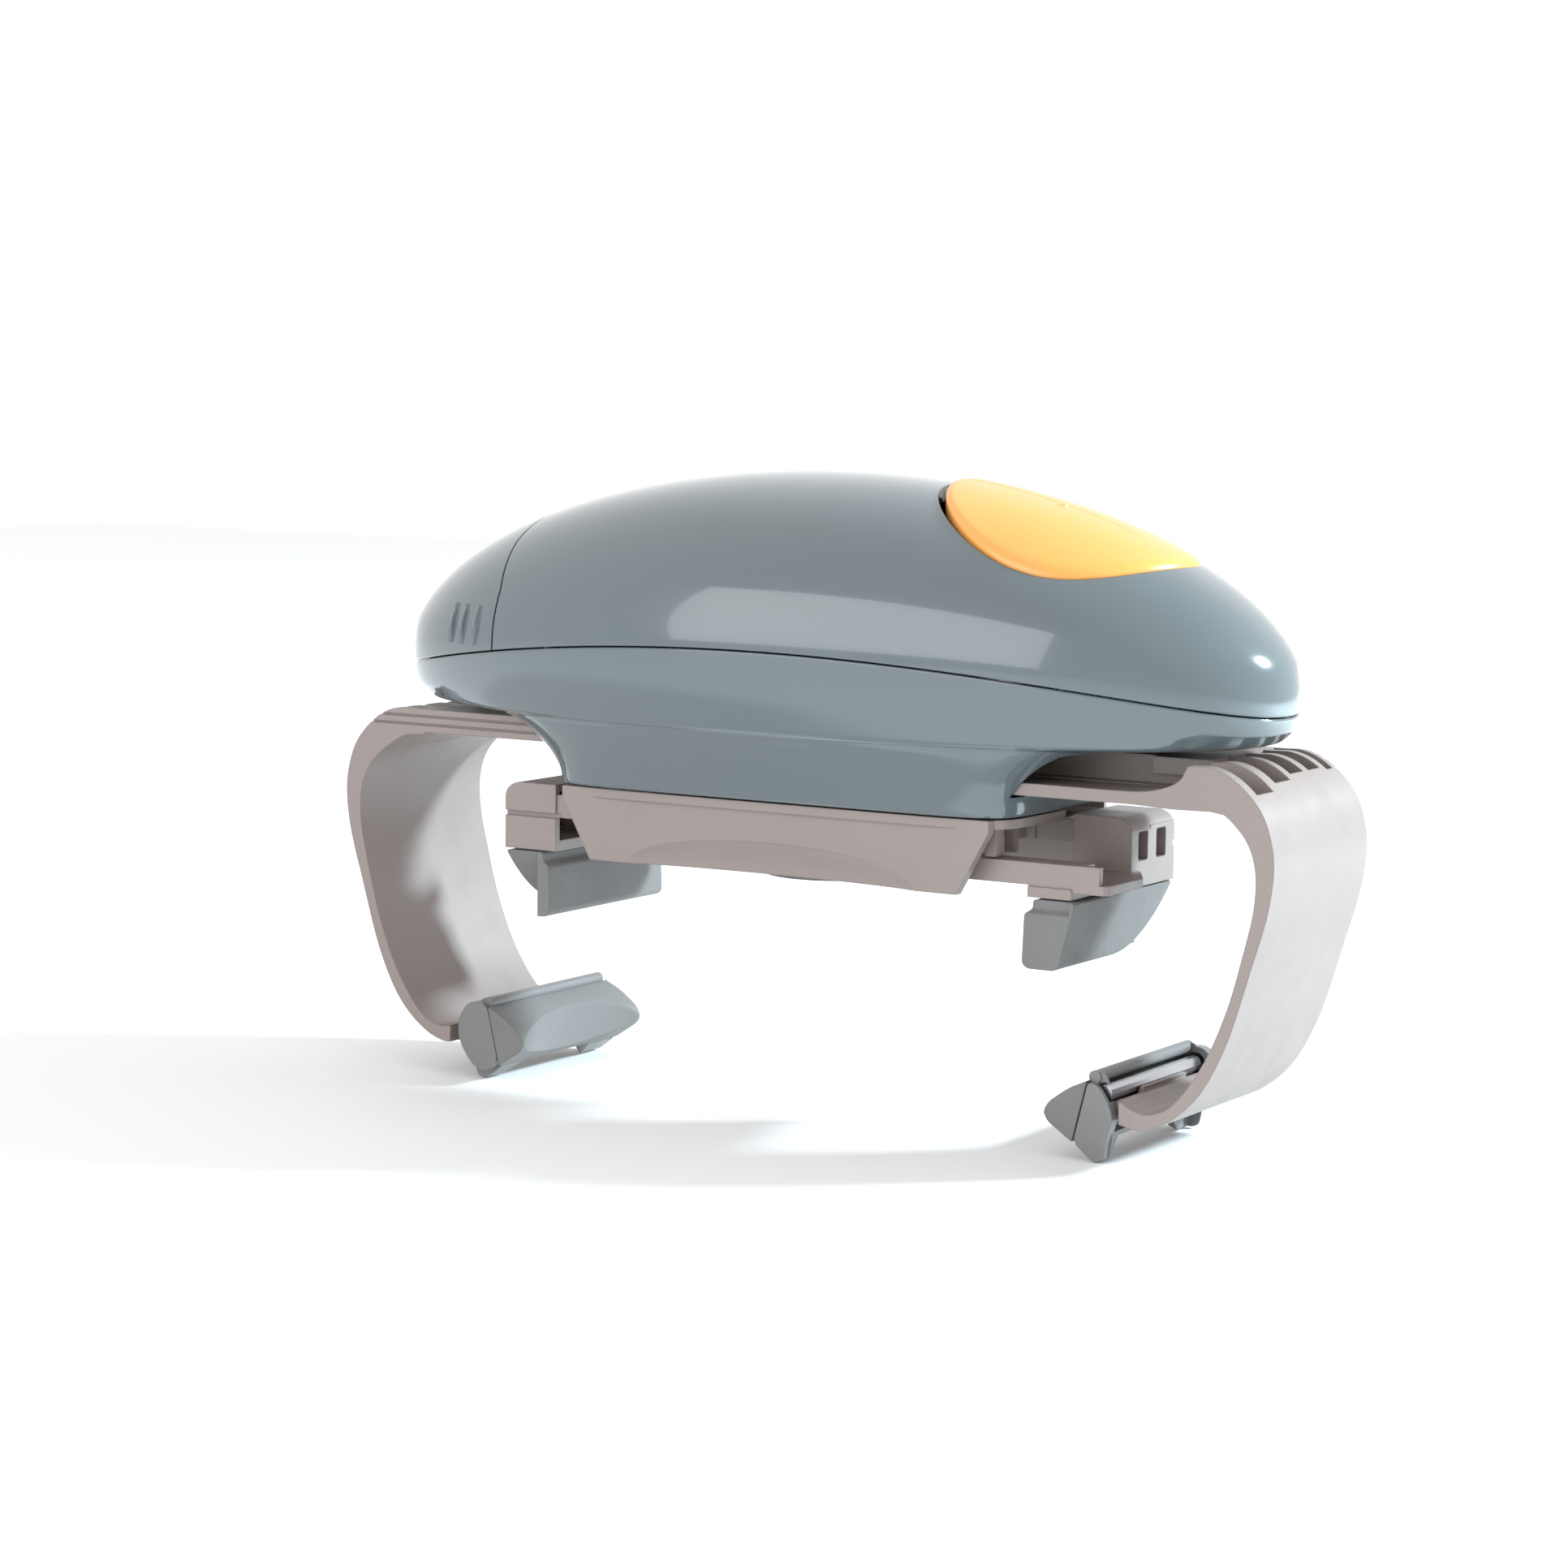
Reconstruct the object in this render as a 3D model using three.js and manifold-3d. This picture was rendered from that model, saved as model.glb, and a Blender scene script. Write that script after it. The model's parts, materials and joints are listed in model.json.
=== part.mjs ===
// Automatic jar opener: an oval battery-powered housing, two sliding arms that clamp the jar,
// and a turntable with two jaws that clamps and turns the lid.
// Millimetres, +Z up. X runs along the housing (+X at the button end), Z is the drive axis.
// Heights are written from the underside of the housing (z = 0) and the whole object is then
// lifted by STAND_HEIGHT so that it stands on its grips at z = 0.
import * as THREE from "three";
import { mergeVertices } from "three/addons/utils/BufferGeometryUtils.js";
import Module from "manifold-3d";

const wasm = await Module();
wasm.setup();

// ---- driving dimensions -------------------------------------------------------------------
const STAND_HEIGHT = 56;
const GAP = 0.3; // between pieces that touch
const WALL = 2.2;

const BODY_HALF_LENGTH = 87;
const BODY_HALF_WIDTH = 34;
const DOME = { halfLength: 88.5, baseZ: 18, height: 37.7 }; // side profile, an ellipse
const DOME_TOP = DOME.baseZ + DOME.height;
const SEAM = { z: 26.5, drop: 8.3, reach: 86 }; // joint of the two shells, a parabola
const SKIRT = { halfLength: 46, halfWidth: 23, squareness: 8 };
const COVER_X = -53.5; // joint of the battery cover

const BUTTON = { x: 46.5, halfLength: 21.5, halfWidth: 22, gap: 0.5, rearGap: 1.4, hingeX: 66, hingeZ: 33.5 };

const NECK_R = 12; // bearing that carries the turntable, through the housing's floor

const ARM_HALF_WIDTH = 18.6;
const RAIL = { low: [3.9, 6.3], high: [6.7, 10.9], inner: 8.25 };
const GRIP_PIN = { x: 63.5, z: -44.5, r: 1.5, halfLength: 17.6 };
const GRIP_HALF_WIDTH = 19;
const GRIP_CLEAR = 0.5;
const GRIP_CURVE_R = 48;

const TURNTABLE = { top: -0.4, bottom: -13.2, topHalf: 43, bottomHalf: 37, halfWidth: 21.5, wall: 1.8 };
const JAW_HALF_WIDTH = 18;
const JAW_RAIL = { high: [-6.9, -2.8], low: [-11, -7.2] };
const JAW_FACE_X = 48.3;
const JAW_PLATE_Z = [-13, -11.2];
const JAW_RUBBER_BOTTOM = -24.9;

const RACK_MODULE = 1;
const PINION_TEETH = 14; // pitch radius 7 mm on both racks
const SUN_TEETH = 12;
const PLANET_TEETH = 9;
const RING_TEETH = 30;
const PLANET_COUNT = 3;
const PLANET_ORBIT = (SUN_TEETH + PLANET_TEETH) / 2;
const WHEEL = { teeth: 36, module: 0.8 };
const REDUCTION = { small: 10, large: 32, largeModule: 0.6, angle: -25 };
const MOTOR = { pinion: 10, angle: 50, halfWidth: 7.5, r: 10, z: [26.9, 46.5] };
const BACKLASH = 0.32;
const TOOTH_ADDENDUM = 0.8;
const RACK_TIP_Y = (PINION_TEETH / 2 - TOOTH_ADDENDUM) * RACK_MODULE;

const CELL = { r: 7.1, length: 50, x: -71, y: 7.6, z: 27 };
const SCREWS = [[56, 21], [56, -21], [-46, 21.5], [-46, -21.5]];
const BOSS_SPLIT_Z = 24;
const SCREW_HOLE_R = 1.3;

const FINISH = {
  shell: { color: 0x82969b, roughness: 0.25, metalness: 0 },
  button: { color: 0xfab94b, roughness: 0.25, metalness: 0 },
  taupe: { color: 0xa89b98, roughness: 0.5, metalness: 0 },
  rubber: { color: 0x87898a, roughness: 0.85, metalness: 0 },
  steel: { color: 0xb9bcc0, roughness: 0.3, metalness: 1 },
  brass: { color: 0xc9a227, roughness: 0.35, metalness: 1 },
  nylon: { color: 0xe8e4d8, roughness: 0.5, metalness: 0 },
  cell: { color: 0x3c4650, roughness: 0.4, metalness: 0.3 },
  board: { color: 0x2f6b3a, roughness: 0.5, metalness: 0 },
  black: { color: 0x222426, roughness: 0.5, metalness: 0 },
};

// ---- solids -------------------------------------------------------------------------------
const degrees = (angle) => (angle * Math.PI) / 180;

function solid(geometry) {
  const bare = geometry.clone();
  bare.deleteAttribute("normal");
  bare.deleteAttribute("uv");
  const merged = mergeVertices(bare, 1e-4);
  return new wasm.Manifold(
    new wasm.Mesh({
      numProp: 3,
      vertProperties: new Float32Array(merged.attributes.position.array),
      triVerts: new Uint32Array(merged.index.array),
    }),
  );
}

function meshOf(name, shape, finish) {
  const data = shape.getMesh();
  const geometry = new THREE.BufferGeometry();
  geometry.setAttribute("position", new THREE.BufferAttribute(data.vertProperties, 3));
  geometry.setIndex(new THREE.BufferAttribute(data.triVerts, 1));
  geometry.computeVertexNormals();
  const mesh = new THREE.Mesh(geometry, new THREE.MeshStandardMaterial(FINISH[finish]));
  mesh.name = name;
  return mesh;
}

const join = (...shapes) => shapes.reduce((whole, shape) => whole.add(shape));

function box([x0, x1], [y0, y1], [z0, z1]) {
  const geometry = new THREE.BoxGeometry(x1 - x0, y1 - y0, z1 - z0);
  return solid(geometry.translate((x0 + x1) / 2, (y0 + y1) / 2, (z0 + z1) / 2));
}

function extrude(outline, depth) {
  const shape = new THREE.Shape(outline.map(([a, b]) => new THREE.Vector2(a, b)));
  return new THREE.ExtrudeGeometry(shape, { depth, bevelEnabled: false });
}

// An outline of (x, y) points between two heights.
const prismZ = (outline, [z0, z1]) => solid(extrude(outline, z1 - z0).translate(0, 0, z0));

// An outline of (x, z) points between two values of y.
const prismY = (outline, [y0, y1]) =>
  solid(extrude(outline, y1 - y0).rotateX(Math.PI / 2).translate(0, y1, 0));

const prismBoth = (outline, halfWidth) => prismY(outline, [-halfWidth, halfWidth]);

// An upright cylinder, or a lying one along X or Y.
function cylinder(r, [from, to], [a, b] = [0, 0], axis = "z", sides = 16) {
  const geometry = new THREE.CylinderGeometry(r, r, to - from, sides);
  geometry.translate(0, (from + to) / 2, 0); // along Y
  if (axis === "z") geometry.rotateX(Math.PI / 2).translate(a, b, 0);
  if (axis === "x") geometry.rotateZ(-Math.PI / 2).translate(0, a, b);
  if (axis === "y") geometry.translate(a, 0, b);
  return solid(geometry);
}

const ring = (outer, inner, [z0, z1], place = [0, 0], sides = 24) =>
  cylinder(outer, [z0, z1], place, "z", sides).subtract(
    cylinder(inner, [z0 - 1, z1 + 1], place, "z", sides),
  );

const halfTurn = (shape) => shape.rotate([0, 0, 180]);

// ---- gears --------------------------------------------------------------------------------
const involute = (angle) => Math.tan(angle) - angle;

// A spur gear's outline with one tooth centred on +X: three points on each flank.
function gearOutline(teeth, module, options = {}) {
  const { addendum = TOOTH_ADDENDUM, dedendum = 1.15, thin = BACKLASH / 2, flankPoints = 3 } = options;
  const r = (teeth * module) / 2;
  const pressure = degrees(20);
  const base = r * Math.cos(pressure);
  const root = r - dedendum * module;
  const tip = r + addendum * module;
  const halfAtPitch = Math.PI / (2 * teeth) - thin / (2 * r);
  const halfAt = (radius) =>
    halfAtPitch + involute(pressure) - involute(Math.acos(Math.min(1, base / Math.max(radius, base))));
  const radii = flankPoints === 3 ? [root, r, tip] : [root, tip];
  const points = [];
  for (let tooth = 0; tooth < teeth; tooth++) {
    const centre = (2 * Math.PI * tooth) / teeth;
    const flank = (radius, side) => {
      const angle = centre + side * halfAt(radius);
      points.push([radius * Math.cos(angle), radius * Math.sin(angle)]);
    };
    radii.forEach((radius) => flank(radius, -1));
    [...radii].reverse().forEach((radius) => flank(radius, 1));
  }
  return points;
}

const gear = (teeth, module, span, phase = 0, place = [0, 0], flankPoints = 2) =>
  prismZ(gearOutline(teeth, module, { flankPoints }), span)
    .rotate([0, 0, phase])
    .translate([...place, 0]);

// Rack teeth that point to -Y from y = RAIL.inner, with a tooth space at x = 0.
function rackTeeth([x0, x1], span) {
  const pitch = Math.PI * RACK_MODULE;
  const r = (PINION_TEETH * RACK_MODULE) / 2;
  const slope = Math.tan(degrees(20));
  const halfAt = (y) => pitch / 4 - BACKLASH / 4 + (y - r) * slope;
  const backY = RAIL.inner + 0.5;
  const first = Math.ceil(x0 / pitch - 0.5);
  const last = Math.floor(x1 / pitch - 0.5);
  const outline = [[x1, backY], [x0, backY], [x0, RAIL.inner]];
  for (let n = first; n <= last; n++) {
    const x = (n + 0.5) * pitch;
    if (x - pitch / 2 < x0 || x + pitch / 2 > x1) continue;
    outline.push([x - halfAt(RAIL.inner), RAIL.inner], [x - halfAt(RACK_TIP_Y), RACK_TIP_Y]);
    outline.push([x + halfAt(RACK_TIP_Y), RACK_TIP_Y], [x + halfAt(RAIL.inner), RAIL.inner]);
  }
  outline.push([x1, RAIL.inner]);
  return prismZ(outline.reverse(), span);
}

// ---- housing ------------------------------------------------------------------------------
const seamZ = (x) => SEAM.z - SEAM.drop * (x / SEAM.reach) ** 2;

// A section of the dome: height, half-length, half-width and squareness of its plan.
function domeSection(z) {
  const along = (z - DOME.baseZ) / DOME.height;
  const across = (z - SEAM.z) / (DOME_TOP - SEAM.z);
  return [z, DOME.halfLength * Math.sqrt(1 - along ** 2), BODY_HALF_WIDTH * Math.sqrt(1 - across ** 2), 2.2];
}

// Sections below the seam, listed the same way.
const BOWL = [
  [0, SKIRT.halfLength, SKIRT.halfWidth, SKIRT.squareness],
  [2.7, 46.6, 24.2, 7],
  [5.6, 48.8, 25.8, 5.8],
  [8.5, 52.6, 27.6, 4.8],
  [10.3, 56.6, 28.8, 4],
  [11.2, 60.5, 29.5, 3.4],
  [12, 67, 30, 2.8],
  [12.7, 78, 30.6, 2.4],
  [13.7, 85.2, 31.1, 2.2],
  [15.2, 86.7, 31.9, 2.2],
  [18.4, BODY_HALF_LENGTH, 33, 2.2],
  [22.4, 86.9, 33.8, 2.2],
];
const DOME_HEIGHTS = [26.5, 32, 37.5, 42.5, 47, 51, 53.8, 55.2];

const sections = () => [...BOWL, ...DOME_HEIGHTS.map(domeSection)];

// A superellipse: an ellipse squared off more as n grows past 2.
const superellipse = (a, b, n, sides) =>
  Array.from({ length: sides }, (_, i) => {
    const c = Math.cos((2 * Math.PI * i) / sides);
    const s = Math.sin((2 * Math.PI * i) / sides);
    const scale = (Math.abs(c) ** n + Math.abs(s) ** n) ** (-1 / n);
    return [a * c * scale, b * s * scale];
  });

// A body through superellipse sections, closed by a point at the top and a flat at the bottom.
function loft(list, topZ, sides = 28) {
  const positions = list.flatMap(([z, a, b, n]) => superellipse(a, b, n, sides).flatMap((at) => [...at, z]));
  const bottom = positions.length / 3;
  positions.push(0, 0, list[0][0], 0, 0, topZ);
  const top = bottom + 1;
  const faces = [];
  for (let row = 0; row < list.length - 1; row++)
    for (let i = 0; i < sides; i++) {
      const j = (i + 1) % sides;
      const [p, q, s, t] = [row * sides + i, row * sides + j, (row + 1) * sides + j, (row + 1) * sides + i];
      faces.push(p, q, s, p, s, t);
    }
  const crown = (list.length - 1) * sides;
  for (let i = 0; i < sides; i++) {
    const j = (i + 1) % sides;
    faces.push(bottom, j, i, top, crown + i, crown + j);
  }
  const geometry = new THREE.BufferGeometry();
  geometry.setAttribute("position", new THREE.Float32BufferAttribute(positions, 3));
  geometry.setIndex(faces);
  return solid(geometry);
}

function grown(list, offset, lift) {
  return list.map(([z, a, b, n]) => [z + lift, a + offset, b + offset, n]);
}

const outerBody = () => loft(sections(), DOME_TOP);

// The hollow inside, with the floor one wall above the outside.
function innerBody(wall = WALL) {
  const bowl = grown(BOWL, -wall, wall * 0.9);
  const dome = grown(DOME_HEIGHTS.slice(1, -1).map(domeSection), -wall, -wall * 0.5);
  return loft([...bowl, ...dome], DOME_TOP - wall);
}

// Everything above or below the seam.
function seamSide(above) {
  const reach = 95;
  const steps = 16;
  const outline = [];
  for (let i = 0; i <= steps; i++) {
    const x = -reach + (2 * reach * i) / steps;
    outline.push([x, seamZ(x) + (above ? GAP / 2 : -GAP / 2)]);
  }
  if (above) outline.push([reach, 70], [-reach, 70]);
  else outline.reverse().push([-reach, -20], [reach, -20]);
  return prismBoth(outline, 60);
}

// The cover's joint line leans a little, so that the cover lifts clear as it slides off.
function tailSide(offset) {
  const line = [[COVER_X - 3.5, 60], [COVER_X - 2, 42], [COVER_X, 34], [COVER_X - 1, 10]];
  const outline = line.map(([x, z]) => [x + offset, z]);
  return prismBoth([...outline, [-100, 10], [-100, 60]].reverse(), 60);
}

function ellipse(x, halfLength, halfWidth, sides = 36) {
  const points = [];
  for (let i = 0; i < sides; i++) {
    const angle = (2 * Math.PI * i) / sides;
    points.push([x + halfLength * Math.cos(angle), halfWidth * Math.sin(angle)]);
  }
  return points;
}

const screwPosts = (r, span, sides) => join(...SCREWS.map((at) => cylinder(r, span, at, "z", sides)));

function upperShell() {
  const { x, halfLength, halfWidth, rearGap, gap, hingeX, hingeZ } = BUTTON;
  const opening = prismZ(
    ellipse(x + (gap - rearGap) / 2, halfLength + (gap + rearGap) / 2, halfWidth + gap),
    [SEAM.z + 3, 70],
  );
  const ears = join(...[[-12.5, -9.6], [9.6, 12.5]].map((span) =>
    prismY([[hingeX - 2.5, hingeZ - 2.5], [hingeX + 3, hingeZ - 2.5], [74, 42], [hingeX - 2.5, 42]], span)));
  return outerBody()
    .subtract(innerBody())
    .intersect(seamSide(true))
    .add(screwPosts(3, [BOSS_SPLIT_Z + GAP, 40], 12).intersect(outerBody()))
    .subtract(screwPosts(SCREW_HOLE_R, [10, 30], 10))
    .subtract(opening)
    .add(ears.intersect(outerBody()).subtract(opening))
    .subtract(cylinder(1.3, [-12.6, 12.6], [hingeX, hingeZ], "y", 12))
    .subtract(tailSide(GAP / 2));
}

const batteryCover = () =>
  outerBody().subtract(innerBody()).intersect(seamSide(true)).intersect(tailSide(-GAP / 2));

function lowerShell() {
  const reach = 62;
  const across = ARM_HALF_WIDTH + 0.5;
  const armSlot = box([-reach, reach], [-across, across], [RAIL.low[0] - 0.4, RAIL.high[1] + 0.4]);
  return outerBody()
    .subtract(innerBody())
    .intersect(seamSide(false))
    .add(screwPosts(3, [8, BOSS_SPLIT_Z], 12).intersect(outerBody()))
    .subtract(screwPosts(SCREW_HOLE_R, [5, 30], 10))
    .subtract(screwPosts(2.8, [5, 14.5], 12)) // wells for the screw heads
    .subtract(armSlot)
    .subtract(cylinder(NECK_R + 0.4, [-5, 6], [0, 0], "z", 32));
}

function button() {
  const proud = 0.7;
  const cap = loft(grown(sections(), 0.9, proud), DOME_TOP + proud);
  const under = innerBody(2.6);
  const outline = ellipse(BUTTON.x, BUTTON.halfLength, BUTTON.halfWidth);
  const footprint = prismZ(outline, [30, 70]);
  const skin = cap.subtract(under).intersect(footprint);
  const x = BUTTON.hingeX;
  const lugs = [[-9, -4.5], [4.5, 9]].flatMap((span) => [
    cylinder(2.6, span, [x, BUTTON.hingeZ], "y", 12),
    prismY([[x - 6, BUTTON.hingeZ], [x + 2, BUTTON.hingeZ], [x + 2, 46], [x - 6, 46]], span).intersect(footprint),
  ]);
  const plunger = cylinder(2.2, [42, 52], [BUTTON.x - 4, 0], "z", 12).add(
    cylinder(3.4, [47.5, 52], [BUTTON.x - 4, 0], "z", 12),
  );
  const hole = cylinder(1.3, [-20, 20], [x, BUTTON.hingeZ], "y", 12);
  return join(skin, ...lugs.map((lug) => lug.intersect(cap)), plunger.intersect(cap)).subtract(hole);
}

// ---- arms ---------------------------------------------------------------------------------
// Outer and inner side of the right arm, from the shoulder to the foot.
const ARM_OUTER = [
  [66, 10.9], [81.5, 10.9], [87.5, 8], [91, 3.8], [93.4, -3.7], [92.4, -12.1], [89.7, -21.7],
  [85.4, -34.9], [80.7, -43.5], [74.2, -48.9], [66.6, -50.9], [61.6, -50.9],
];
const ARM_INNER = [
  [61.6, -48.3], [69, -48.3], [75.6, -46.2], [81.2, -38.4], [85.5, -28.8], [88.2, -19.3],
  [90.3, -11.2], [90.4, -4], [86.2, 2], [83.2, 4.2], [79, 8], [66, 8],
];

function rightArm() {
  const plate = prismBoth([...ARM_OUTER, ...ARM_INNER].reverse(), ARM_HALF_WIDTH);
  const [low, high] = [RAIL.low, RAIL.high];
  const inner = RAIL.inner;
  const wide = ARM_HALF_WIDTH;
  const flange = box([18, 80], [-wide, -inner], low);
  const wallSpan = [0.4 - RACK_TIP_Y, 2.2 - RACK_TIP_Y];
  const step = box([37, 84], [-inner - 0.1, wallSpan[1]], low);
  const wallPlate = box([37, 80], wallSpan, [low[0], high[1]]);
  const deck = box([37, 82], [wallSpan[0], wide], [high[1] - 1.8, high[1]]);
  const bar = box([-8, 82], [inner + 0.4, wide], high);
  const teeth = rackTeeth([-8, 36], high);
  const knuckle = cylinder(2.9, [-8, 8], [GRIP_PIN.x, GRIP_PIN.z], "y", 16);
  const neck = box([GRIP_PIN.x - 2.2, GRIP_PIN.x + 2.4], [-8, 8], [-49, GRIP_PIN.z]);
  const seat = box([58, 70], [-30, 30], [-60, -40]);
  const foot = plate.subtract(seat.subtract(box([58, 70], [-8, 8], [-60, -40])));
  const shoulder = prismY([[66, low[0]], [84.5, low[0] - 0.3], [83, high[1]], [66, high[1]]].reverse(), [-wide, -inner]);
  return join(foot.add(shoulder).subtract(shoulderSweep()), flange, step, wallPlate, deck, bar, teeth, knuckle, neck)
    .subtract(join(...BEND_POCKETS.map(bendPocket)))
    .subtract(cylinder(GRIP_PIN.r + GAP, [-10, 10], [GRIP_PIN.x, GRIP_PIN.z], "y", 12));
}

// What is cut from the shoulder so that the front flange sweeps up to full height.
function shoulderSweep() {
  const sweep = [[60, 6.1], [68, 6.1], [72.5, 6.8], [75.5, 7.9], [76.9, 9], [77.6, 10.4], [78.6, 11.6]];
  return prismY([...sweep, [60, 11.6]], [-ARM_HALF_WIDTH - 1, -RAIL.inner + 0.6]);
}

// Cored pockets over the bend between lengthwise ribs. They end on an arc across the arm.
const BEND_POCKETS = [[-15.3, -9.8], [-6.4, -0.9], [0.9, 6.2], [8.1, 12.8], [14.6, 17]];

function bendPocket(span) {
  const end = 86.3 + 3.4 * ((span[0] + span[1]) / 2 / 17) ** 2;
  const outline = [
    [70, 14], [70, 9.4], [79.2, 9.2], [end - 4.2, 5.6], [end - 2.2, 6.9], [end, 9.5], [end + 2.5, 14],
  ];
  return prismY(outline, span);
}

// Cross-section of a grip, split by a slanting line into a rubber nose and a rigid holder.
const GRIP_TIP = [52.9, -48.8];
const GRIP_TOP = [61.2, -42.4];
const GRIP_SPLIT_LOW = [58.6, -53];
const GRIP_FOOT = [[62.4, -56], [65.4, -56]];
const GRIP_REAR = [[67.2, -51], [67, -42.6], [65.6, -41.4]];

function gripHolder() {
  const outline = [GRIP_TOP, GRIP_SPLIT_LOW, ...GRIP_FOOT, ...GRIP_REAR];
  const body = prismBoth(outline, GRIP_HALF_WIDTH);
  const pocket = prismBoth(
    [[60.2, -47.4], [59.9, -52], [70, -52], [70, -40], [61.5, -40], [59.9, -44]],
    8 + GRIP_CLEAR,
  );
  const pin = cylinder(GRIP_PIN.r + GAP, [-18.2, 18.2], [GRIP_PIN.x, GRIP_PIN.z], "y", 12);
  return body.subtract(pocket).subtract(pin);
}

function gripRubber() {
  const shift = GAP;
  const outline = [
    [GRIP_TIP[0] + 0.9, GRIP_TIP[1] + 1.1], [GRIP_TIP[0], GRIP_TIP[1]], [GRIP_TIP[0] + 0.7, GRIP_TIP[1] - 1.2],
    [GRIP_SPLIT_LOW[0] - shift, GRIP_SPLIT_LOW[1]],
    [GRIP_TOP[0] - shift, GRIP_TOP[1]],
  ];
  const centreX = GRIP_TIP[0] - Math.sqrt(GRIP_CURVE_R ** 2 - GRIP_HALF_WIDTH ** 2);
  const jar = cylinder(GRIP_CURVE_R, [-80, -20], [centreX, 0], "z", 96);
  return prismBoth(outline, GRIP_HALF_WIDTH).subtract(jar);
}

const gripPin = () =>
  cylinder(GRIP_PIN.r, [-GRIP_PIN.halfLength, GRIP_PIN.halfLength], [GRIP_PIN.x, GRIP_PIN.z], "y", 12);

// ---- turntable and jaws -------------------------------------------------------------------
function turntable() {
  const { top, bottom, topHalf, bottomHalf, halfWidth, wall } = TURNTABLE;
  const outline = [[-topHalf, top], [-topHalf, top - 2], [-bottomHalf, bottom], [bottomHalf, bottom],
    [topHalf, top - 2], [topHalf, top]];
  const scoop = (side, thicker) =>
    solid(new THREE.SphereGeometry(1, 24, 16).scale(31 + thicker, 4.4 + thicker, 6.2 + thicker))
      .translate([0, side * (halfWidth + 1.5), bottom]);
  const hollow = box([-60, 60], [wall - halfWidth, halfWidth - wall], [bottom - 1, top - 1.5])
    .subtract(scoop(1, 1.2))
    .subtract(scoop(-1, 1.2));
  const rim = prismZ(superellipse(SKIRT.halfLength - 0.4, halfWidth + 0.6, SKIRT.squareness, 48), [top - 1.6, top]);
  const notch = box([17, 60], [1, JAW_HALF_WIDTH + 0.6], [top - 5, top + 1]);
  const bearing = cylinder(NECK_R, [top - 0.5, 2.4], [0, 0], "z", 32);
  const bar = box([-15, 15], [-halfWidth + 1, halfWidth - 1], [bottom, JAW_PLATE_Z[1] - 0.2]);
  const posts = join(...[[-17.4, -14.6], [-10.6, -9.4]].map((span) => box([40.2, 42.2], span, [-6.8, top - 1])));
  return prismBoth(outline, halfWidth)
    .subtract(hollow)
    .add(rim)
    .add(bar)
    .add(bearing)
    .add(posts)
    .add(halfTurn(posts))
    .subtract(notch)
    .subtract(halfTurn(notch))
    .subtract(cylinder(4.4, [-10, 5], [0, 0], "z", 20))
    .subtract(scoop(1, 0))
    .subtract(scoop(-1, 0));
}

const turntableRetainer = () => ring(15, 9.4, [2.7, 3.6], [0, 0], 28);

const lidPlate = () =>
  cylinder(12, [TURNTABLE.bottom - GAP - 1.2, TURNTABLE.bottom - GAP], [0, 0], "z", 32);

function rightJaw() {
  const wide = JAW_HALF_WIDTH;
  const [plateLow, plateHigh] = JAW_PLATE_Z;
  const [outer, top] = [58, -1];
  const base = box([JAW_FACE_X, outer - 1.5], [0.6 - wide, wide - 0.6], [plateLow, plateHigh]);
  const railFront = 0.9 - wide;
  const lowRail = box([34, outer], [railFront, -12], JAW_RAIL.low);
  const lip = box([outer - 1, 61.5], [railFront, railFront + 1.3], [JAW_RAIL.low[0], JAW_RAIL.low[1] + 0.3]);
  const ledge = box([JAW_FACE_X, 63], [railFront, 4], [plateHigh - 0.6, JAW_RAIL.low[0] + 0.8]);
  const web = box([JAW_FACE_X, outer - 1.5], [-wide + 0.9, -12], [plateLow, -10]);
  const inner = RAIL.inner + 0.25;
  const highRail = box([-11, outer], [inner, wide - 0.6], JAW_RAIL.high);
  const teeth = rackTeeth([-11, 36], JAW_RAIL.high);
  const hood = prismY(
    [[47, top], [56, top], [outer, top - 1.6], [outer, plateLow], [47, plateLow]].reverse(),
    [1.5, wide - 0.2],
  );
  const hollow = box([40, outer - 1.8], [3, wide - 1.5], [plateHigh + 0.1, top - 1.4]);
  const windows = join(...[5.8, 12.6].map((y) => box([50, 65], [y - 1.8, y + 1.8], [-8.6, -3.6])));
  return join(base, lowRail, lip, ledge, web, hood.subtract(hollow), highRail, teeth).subtract(windows);
}

function rightJawRubber() {
  const outline = [
    [JAW_FACE_X, -13.3], [JAW_FACE_X - 0.4, JAW_RUBBER_BOTTOM + 0.8], [JAW_FACE_X + 0.6, JAW_RUBBER_BOTTOM],
    [54, JAW_RUBBER_BOTTOM], [54.8, JAW_RUBBER_BOTTOM + 0.8], [57.6, -13.3],
  ];
  return prismBoth(outline, JAW_HALF_WIDTH + 0.2);
}

function jawPinion() {
  const hub = cylinder(3.9, [JAW_RAIL.high[0], 3.4], [0, 0], "z", 20);
  return gear(PINION_TEETH, RACK_MODULE, [JAW_RAIL.high[0] + 0.2, JAW_RAIL.high[1] - 0.2], 90, [0, 0], 3).add(hub);
}

// ---- gear train ---------------------------------------------------------------------------
const TRAIN = {
  ringWeb: [13.3, 14.4], ringRim: [13.3, 20], carrier: [14.8, 15.9], planets: [16.2, 19.6],
  sun: [16.4, 19.4], firstStage: [21, 23.4], wheel: [24, 26.4],
};
const RING_OUTER = 17.4;
const reductionRadius = ((WHEEL.teeth + REDUCTION.small) * WHEEL.module) / 2;
const reductionPlace = polar(reductionRadius, REDUCTION.angle);
const motorRadius = ((REDUCTION.large + MOTOR.pinion) * REDUCTION.largeModule) / 2;
const motorPlace = polar(motorRadius, MOTOR.angle).map((v, i) => v + reductionPlace[i]);

function polar(r, angle) {
  return [r * Math.cos(degrees(angle)), r * Math.sin(degrees(angle))];
}

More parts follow.
